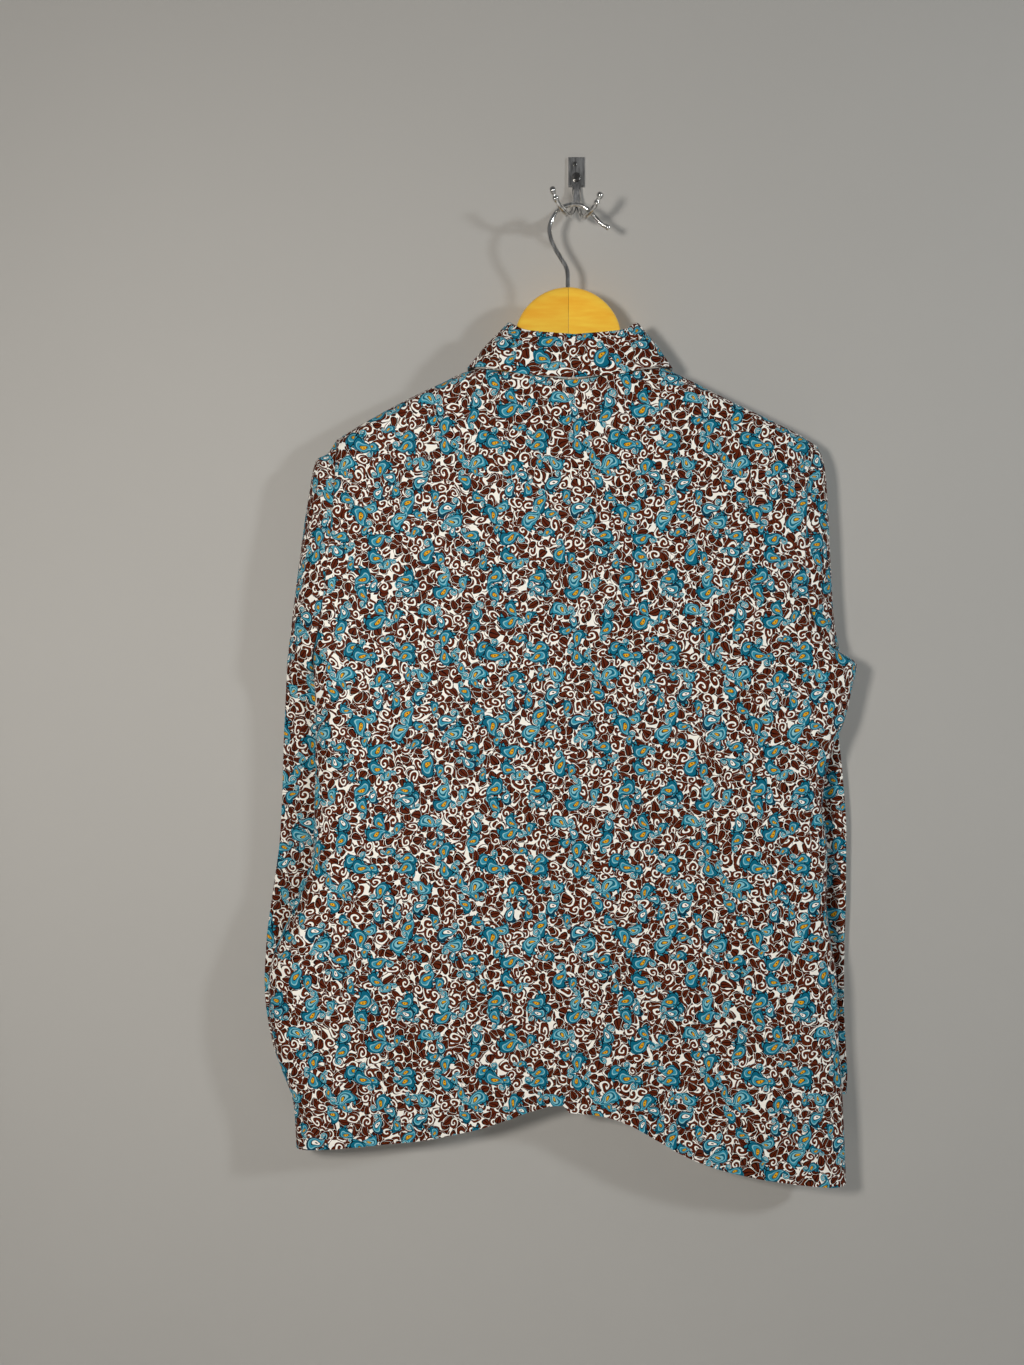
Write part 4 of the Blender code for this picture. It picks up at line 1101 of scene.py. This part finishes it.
# ---------------------------------------------------------------- the print
# An all-over print of the builder's own: paisleys over stems, curls and leaves. Lengths in mm.
CREAM = (0.92, 0.89, 0.82, 1)
GOLD = (0.74, 0.38, 0.02, 1)
INK = (0.002, 0.01, 0.016, 1)
DEEP = (0.002, 0.04, 0.08, 1)
TEAL = (0.003, 0.126, 0.206, 1)
LIGHT = (0.028, 0.27, 0.395, 1)
PALE = (0.25, 0.54, 0.6, 1)
UMBER = (0.008, 0.001, 0.0005, 1)
RUST = (0.1, 0.015, 0.004, 1)
TURN = 6.2832      # a full turn
REPEAT = (3, 6)    # lattice cells in one repeat of the print
LAST_BAND = 1.3    # where the bands of a ramp end
WEAVE = 4.2        # radians of the weave's wave in a mm

# bands of a paisley from its heart to its rim: outer edge of each band, colour
BANDS = (
    ((0.3, GOLD), (0.38, UMBER), (0.62, LIGHT), (0.72, PALE), (0.99, TEAL), (1.1, INK),
     (1.22, CREAM)),
    ((0.2, GOLD), (0.3, INK), (0.52, PALE), (0.72, TEAL), (0.82, PALE), (1, LIGHT),
     (1.1, INK), (1.22, CREAM)),
    ((0.12, UMBER), (0.36, CREAM), (0.46, INK), (0.7, LIGHT), (0.8, PALE), (1, DEEP),
     (1.1, INK), (1.22, CREAM)))
# paisley layers: cell width and height, shift, jitter, half length least and most, share, seed
PAISLEYS = (
    ((41.67, 33.33), (0, 0), 10, 8.5, 11.5, 0.9, 11),
    ((41.67, 33.33), (0.47, 0.52), 10, 8, 11, 0.9, 23),
    ((41.67, 33.33), (0.24, 0.74), 11, 6.5, 8.5, 0.85, 37),
    ((41.67, 33.33), (0.76, 0.24), 11, 5.5, 7.5, 0.8, 53))
# leaf layers: cell, turn of the lattice, half length, share, seed
LEAVES = (
    (10, 0.3, 4.3, 0.95, 61), (10.9, 0.95, 4.5, 0.9, 67), (10.8, -0.45, 4.4, 0.7, 83))
# curl layers: cell, turn of the lattice, reach, pitch, share, seed
CURLS = (
    (12.6, 0.62, 5.2, 4.1, 0.8, 97), (13.8, -0.2, 5.5, 4.4, 0.5, 101),
    (15.4, 1.2, 5, 4.1, 0.4, 109))


class Term:
    """A number or colour in a node tree; arithmetic on it adds nodes."""

    def __init__(self, tree, socket):
        self.tree = tree
        self.socket = socket

    def op(self, how, *others):
        """What a Math node makes of this and other terms or numbers."""
        return made(self.tree, "Math", (self, *others), operation=how)

    __add__ = partialmethod(op, "ADD")
    __sub__ = partialmethod(op, "SUBTRACT")
    __mul__ = partialmethod(op, "MULTIPLY")
    __truediv__ = partialmethod(op, "DIVIDE")

    def below(self, limit):
        """1 where the value is under a limit, 0 above it."""
        return self.op("LESS_THAN", limit)

    def picks(self, stir, share):
        """1 for a share of the cells; a random number is stirred to be used again."""
        return (self * stir).op("FRACT").below(share)

    def parts(self):
        """The three parts of a vector or colour."""
        node = made(self.tree, "SeparateXYZ", (self,)).socket.node
        return [Term(self.tree, out) for out in node.outputs]


def feed(node, feeds):
    """Set a node's inputs, by number or name, to constants or terms."""
    for name, value in (feeds.items() if isinstance(feeds, dict) else enumerate(feeds)):
        if isinstance(value, Term):
            value.tree.links.new(value.socket, node.inputs[name])
        else:
            node.inputs[name].default_value = value


def made(tree, kind, feeds=(), out=0, **settings):
    """A new node's output as a term."""
    node = tree.nodes.new("ShaderNode" + kind)
    for name, value in settings.items():
        setattr(node, name, value)
    feed(node, feeds)
    return Term(tree, node.outputs[out])


def vector(tree, x, y, z=0):
    """A vector of three numbers or terms."""
    return made(tree, "CombineXYZ", (x, y, z))


def over(below, above, share):
    """One colour laid on another."""
    return made(share.tree, "Mix", {"Factor": share, 6: below, 7: above}, 2, data_type="RGBA")


def brown(below, heart, cover):
    """A brown shape with a rust heart, laid on a colour."""
    return over(below, over(UMBER, RUST, heart), cover)


def ramp(value, stops):
    """A colour from a term; each stop is where its band ends and its colour."""
    bands = made(value.tree, "ValToRGB", (value * (1 / LAST_BAND),), "Color")
    bar = bands.socket.node.color_ramp
    bar.interpolation = "CONSTANT"
    start = 0
    for n, (edge, colour) in enumerate(stops):
        element = bar.elements[0] if n == 0 else bar.elements.new(start / LAST_BAND)
        element.position = start / LAST_BAND
        element.color = colour
        start = edge
    bar.elements.remove(bar.elements[-1])
    return bands


def chance(tree, x, y, seed):
    """Three random numbers for a cell."""
    return made(tree, "TexWhiteNoise", {"Vector": vector(tree, x, y, seed)}, "Color",
                noise_dimensions="3D").parts()


def turned(x, y, angle):
    """Coordinates in a frame turned by an angle."""
    c = angle.op("COSINE")
    s = angle.op("SINE")
    return x * c + y * s, y * c - x * s


def in_cell(tree, u, v, cell, shift, jitter, seed):
    """Place within a cell of a staggered, repeating lattice, and its six random numbers."""
    row = v / cell[1] + shift[1]
    row_id = row.op("FLOOR")
    col = u / cell[0] + shift[0] + row_id.op("FLOORED_MODULO", 2) * 0.5
    col_id = col.op("FLOOR")
    at = (col_id.op("FLOORED_MODULO", REPEAT[0]), row_id.op("FLOORED_MODULO", REPEAT[1]))
    first = chance(tree, *at, seed)
    x = (col - col_id - 0.5) * cell[0] - (first[0] - 0.5) * jitter
    y = (row - row_id - 0.5) * cell[1] - (first[1] - 0.5) * jitter
    return x, y, first, chance(tree, *at, seed + 5)


def length(x, y):
    """Distance from the middle."""
    return (x * x + y * y).op("SQRT")


def spiral(x, y, start, pitch):
    """Distance from a spiral's line as a share of its pitch, and from its middle."""
    away = length(x, y)
    turn = y.op("ARCTAN2", x) * (1 / TURN)
    return ((turn + away / pitch + start).op("FRACT") - 0.5).op("ABSOLUTE"), away


def paisley(tree, u, v, cell, shift, jitter, least, most, share, seed):
    """One layer of paisleys: colour and cover."""
    x, y, (r1, r2, r3), (r4, r5, r6) = in_cell(tree, u, v, cell, shift, jitter, seed)
    x, y = turned(x, y, r3 * TURN)
    size = r5 * (most - least) + least
    x = x / size
    y = y / size * ((r4 - 0.5).op("SIGN"))
    # the tail's curl, pale, with a dark line
    line, reach = spiral(x - 0.2, y - 0.8, 0.3, 0.27)
    curled = reach.below(0.34)
    tail = over(over(CREAM, INK, line.below(0.4)), over(LIGHT, PALE, line.below(0.14)),
                line.below(0.27))
    # the drop, bent to one side and narrower to its tip
    x, y = turned(x, y, length(x, y) * 1.25)
    wide = (x * -0.34 + 0.42).op("MAXIMUM", 0.11)
    tall = y / wide
    away = length(x, tall)
    around = tall.op("ARCTAN2", x)
    petals = (around * 4 + r1 * 6).op("SINE").op("ABSOLUTE")
    frill = (away - petals * 0.3).below(1) * r4.picks(7, 0.7)
    dots = (x * 27).op("SINE").below(-0.3) * tall.op("ABSOLUTE").below(0.11) * away.below(0.3)
    # its bands, of one of three kinds, and the frill of petals around some
    inner = away + x * 0.28 * (away * -1 + 1).op("MAXIMUM", 0)
    first = over(ramp(inner, BANDS[0]), UMBER, dots)
    second = over(ramp(inner, BANDS[1]), ramp(inner, BANDS[2]), r5.picks(9, 0.5))
    face = over(first, second, r6.picks(5, 0.45))
    petal = ramp(away - petals * 0.3, ((0.72, PALE), (0.9, LIGHT), (1, INK)))
    face = over(petal, face, away.below(1.06))
    kept = r2.picks(13, share)
    body = away.below(1.1).op("MAXIMUM", frill)
    return over(tail, face, body), body.op("MAXIMUM", curled) * kept


def in_lattice(tree, u, v, size, turn, jitter, seed):
    """Place within a cell of a turned square lattice, and its three random numbers."""
    c, s = cos(turn) / size, sin(turn) / size
    p = u * c + v * s
    q = v * c - u * s
    p_id = p.op("FLOOR")
    q_id = q.op("FLOOR")
    r1, r2, r3 = chance(tree, p_id, q_id, seed)
    x = (p - p_id - 0.5) * size - ((r1 * 11).op("FRACT") - 0.5) * jitter
    y = (q - q_id - 0.5) * size - ((r2 * 17).op("FRACT") - 0.5) * jitter
    return x, y, (r1, r2, r3)


def print_colour(tree, u, v):
    """The whole print at u, v in mm."""
    dx, dy, _ = made(tree, "TexNoise", {"Vector": vector(tree, u, v), "Scale": 0.05, "Detail": 1},
                     "Color", noise_dimensions="2D").parts()
    wu = u + (dx - 0.5) * 9
    wv = v + (dy - 0.5) * 9
    # wandering stems, two ways
    colour = CREAM
    for a, b, span, wave, swing in ((wu, wv, 20, 6.4, 4.2), (wv, wu, 25, 7.3, 5)):
        path = b + (a / wave).op("SINE") * swing + (a / (wave * 0.41)).op("SINE") * 1.2
        away = ((path / span).op("FRACT") - 0.5).op("ABSOLUTE") * span
        colour = brown(colour, away.below(0.8), away.below(1.25))
    for leaves, curls in zip(LEAVES, CURLS):
        size, turn, half, share, seed = leaves
        x, y, (r1, r2, r3) = in_lattice(tree, wu, wv, size, turn, 1.6, seed)
        x, y = turned(x, y, r1 * TURN)
        x = x / half
        tall = y / half / (x * -0.34 + 0.66).op("MAXIMUM", 0.12)
        away = length(x, tall)
        lobe = (tall.op("ABSOLUTE") - 0.42).op("ABSOLUTE").below(0.3) * away.below(0.84)
        leaf = brown(CREAM, lobe, away.below(1.04))
        colour = over(colour, leaf, away.below(1.12) * r3.below(share))
        size, turn, reach, pitch, share, seed = curls
        x, y, (r1, r2, r3) = in_lattice(tree, wu, wv, size, turn, 2, seed)
        line, away = spiral(x, y * (r1 - 0.5).op("SIGN"), r2, pitch)
        curled = brown(CREAM, line.below(0.23), line.below(0.32))
        colour = over(colour, curled, away.below(reach) * r3.below(share))
    for layer in reversed(PAISLEYS):
        face, cover = paisley(tree, u + (dx - 0.5) * 4, v + (dy - 0.5) * 4, *layer)
        colour = over(colour, face, cover)
    return colour


def printed_look(name, pale):
    """Printed polyester: the print, a fine weave and a slight sheen; pale is how faint it is."""
    mat, tree, shader = new_look(name)
    u, v, _ = made(tree, "UVMap", (), "UV", uv_map="cut").parts()
    u = u * (1 / MM)
    v = v * (1 / MM)
    colour = print_colour(tree, u, v)
    if pale:
        colour = over(colour, CREAM, u * 0 + pale)
    soft = made(tree, "TexNoise", {"Vector": vector(tree, u, v * 0.6), "Scale": 0.16, "Detail": 3},
                "Fac", noise_dimensions="2D")
    weave = (u * WEAVE).op("SINE") * (v * WEAVE).op("SINE")
    bump = made(tree, "Bump", {
        "Strength": 0.6, "Distance": MM, "Height": soft * 0.9 + weave * 0.02}, "Normal")
    feed(shader, {"Base Color": colour, "Roughness": 0.58, "Sheen Weight": 0.01,
                  "Sheen Roughness": 0.4, "Specular IOR Level": 0.05, "Normal": bump})
    return mat


def two_tones(value, first, last, ends=(0, 1)):
    """A colour that goes from one to another with a term."""
    mixed = made(value.tree, "ValToRGB", (value,), "Color")
    for element, at, colour in zip(mixed.socket.node.color_ramp.elements, ends, (first, last)):
        element.position = at
        element.color = (*colour, 1)
    return mixed


def wander(tree, scale, first, last, ends=(0, 1), stretch=(1, 1, 1), detail=2):
    """A colour that wanders between two, by noise in the object's own space."""
    place = made(tree, "TexCoord", (), "Object")
    place = made(tree, "Mapping", {"Vector": place, "Scale": stretch})
    grain = made(tree, "TexNoise", {"Vector": place, "Scale": scale, "Detail": detail}, "Fac")
    return two_tones(grain, first, last, ends)


def scaled(colour, share):
    """A colour made darker or lighter, up to white."""
    return [min(1, c * share) for c in colour]


def chrome_look(name, colour, rough):
    """Polished metal whose colour has long dark and bright bands: painted reflections."""
    mat, tree, shader = new_look(name)
    # long dark and bright bands in the colour are painted reflections
    painted_reflections = wander(tree, 1, scaled(colour, 0.5), scaled(colour, 1.2), (0.38, 0.66),
                     (300, 300, 55))
    place = made(tree, "TexCoord", (), "Object")
    grain = made(tree, "TexNoise", {"Vector": place, "Scale": 380}, "Fac")
    worn = made(tree, "MapRange", {"Value": grain, "To Min": rough * 0.7, "To Max": rough * 1.5})
    feed(shader, {"Metallic": 1, "Base Color": painted_reflections, "Roughness": worn})
    return mat


def wood_look(name, painted_shade_factor):
    """Varnished wood, its grain along the hanger; a factor under 1 darkens the whole wood as painted
    shade.
    """
    mat, tree, shader = new_look(name)
    grain = wander(tree, 3, scaled((0.95, 0.47, 0.03), painted_shade_factor), scaled((1, 0.64, 0.06), painted_shade_factor),
                   (0.3, 0.7), (9, 60, 60), 6)
    feed(shader, {"Base Color": grain, "Roughness": 0.28, "Coat Weight": 0.6})
    return mat


def button_look():
    """Pearly button."""
    mat, tree, shader = new_look("button")
    pearl = wander(tree, 260, (0.62, 0.58, 0.5), (0.88, 0.86, 0.8))
    feed(shader, {"Base Color": pearl, "Roughness": 0.25})
    return mat


# ---------------------------------------------------------------- the object
PRINT = [printed_look("printed_face", 0), printed_look("printed_reverse", 0.55)]
garment = build_body(PRINT) + build_sleeves(PRINT) + build_collar(PRINT)
for piece in garment:
    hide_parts(piece.name.replace("shirt_", ""))
chrome = chrome_look("chrome", (0.82, 0.81, 0.79), 0.14)
steel = chrome_look("screw_steel", (0.3, 0.29, 0.28), 0.25)
# the left arm gets the same wood painted 8 % darker: painted shade on that side
hanger = build_hanger(wood_look("wood_left_painted_shade", 0.92), wood_look("wood_right", 1), chrome)
for piece, (node, slot) in zip(hanger + build_wall_hook(chrome, steel), (
        ("hanger_arm_left", "wood"), ("hanger_arm_right", "wood"), ("hanger_hook", "chrome"),
        ("wall_hook", "chrome"), ("wall_screw_upper", "screw_steel"),
        ("wall_screw_lower", "screw_steel"))):
    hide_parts(node)
for piece in build_buttons([button_look()]):
    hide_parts(piece.name.replace("shirt_", ""))


# ---------------------------------------------------------------- room, light and camera
def plane(name, corners, mat):
    """A flat stage piece."""
    obj = shape(name, corners, [(0, 1, 2, 3)], [mat])
    return obj


def plaster_look(name, colour, open_behind):
    """Matt paint; a wall seen from behind lets the view through."""
    mat, tree, shader = new_look(name)
    paint = wander(tree, 3, scaled(colour, 0.97), scaled(colour, 1.03))
    feed(shader, {"Base Color": paint, "Roughness": 0.9})
    if open_behind:
        seen = made(tree, "MixShader", {
            "Fac": made(tree, "NewGeometry", (), "Backfacing"),
            1: Term(tree, shader.outputs["BSDF"]), 2: made(tree, "BsdfTransparent")})
        feed(tree.nodes["Material Output"], {"Surface": seen})
    return mat


FLOOR_Z = -1350
FLOOR_HALF = 6000
WALL_WIDE = 2200    # half the wall's width
WALL_TOP = 900
WALL_Y = 0.6    # just behind the plate, so that the two don't touch

CORNERS = ((-1, -1), (1, -1), (1, 1), (-1, 1))
wall = plane(
    "wall", [(i * WALL_WIDE, WALL_Y, WALL_TOP if j > 0 else FLOOR_Z) for i, j in CORNERS],
    plaster_look("wall_paint", (0.43, 0.418, 0.396), True))
wall.visible_shadow = False
plane("floor", [(i * FLOOR_HALF, j * FLOOR_HALF, FLOOR_Z) for i, j in CORNERS],
      plaster_look("floor_paint", (0.64, 0.625, 0.6), False))

world = bpy.data.worlds.new("room")
bpy.context.scene.world = world
world.use_nodes = True
height = made(world.node_tree, "TexCoord", (), "Generated").parts()[2]
feed(world.node_tree.nodes["Background"], {
    "Strength": 0.12,
    "Color": two_tones(height, (0.8, 0.81, 0.82), (1.6, 1.62, 1.65), (0, 0.9))})


def area_light(name, place, aim, size, power, colour=(1, 1, 1)):
    """A soft box aimed at a point."""
    data = bpy.data.lights.new(name, "AREA")
    data.shape = "RECTANGLE"
    data.size, data.size_y = size
    data.energy = power
    data.color = colour
    lamp = placed(name, data)
    lamp.location = place
    lamp.rotation_euler = (Vector(aim) - Vector(place)).to_track_quat("-Z", "Y").to_euler()


area_light("front_left", (-0.5, -1.26, -0.38), (-0.28, 0, -0.45), (0.18, 0.18), 10.6,
           (1, 0.955, 0.895))
area_light("right", (1.55, -1.25, 0.02), (0, 0, -0.45), (0.18, 0.18), 12.4, (0.92, 0.97, 1))
area_light("behind", (0.4, 2.6, 0.4), (0, 0, -0.5), (2.2, 1.6), 60)

camera = placed("view", bpy.data.cameras.new("view"))
camera.data.lens = 33.314
camera.data.sensor_width = 36
camera.data.clip_start = 0.01
camera.location = (-0.06367, -1.25, -0.50397)
camera.rotation_euler = (pi / 2, 0, 0)
bpy.context.scene.camera = camera
bpy.context.scene.view_settings.view_transform = "Standard"
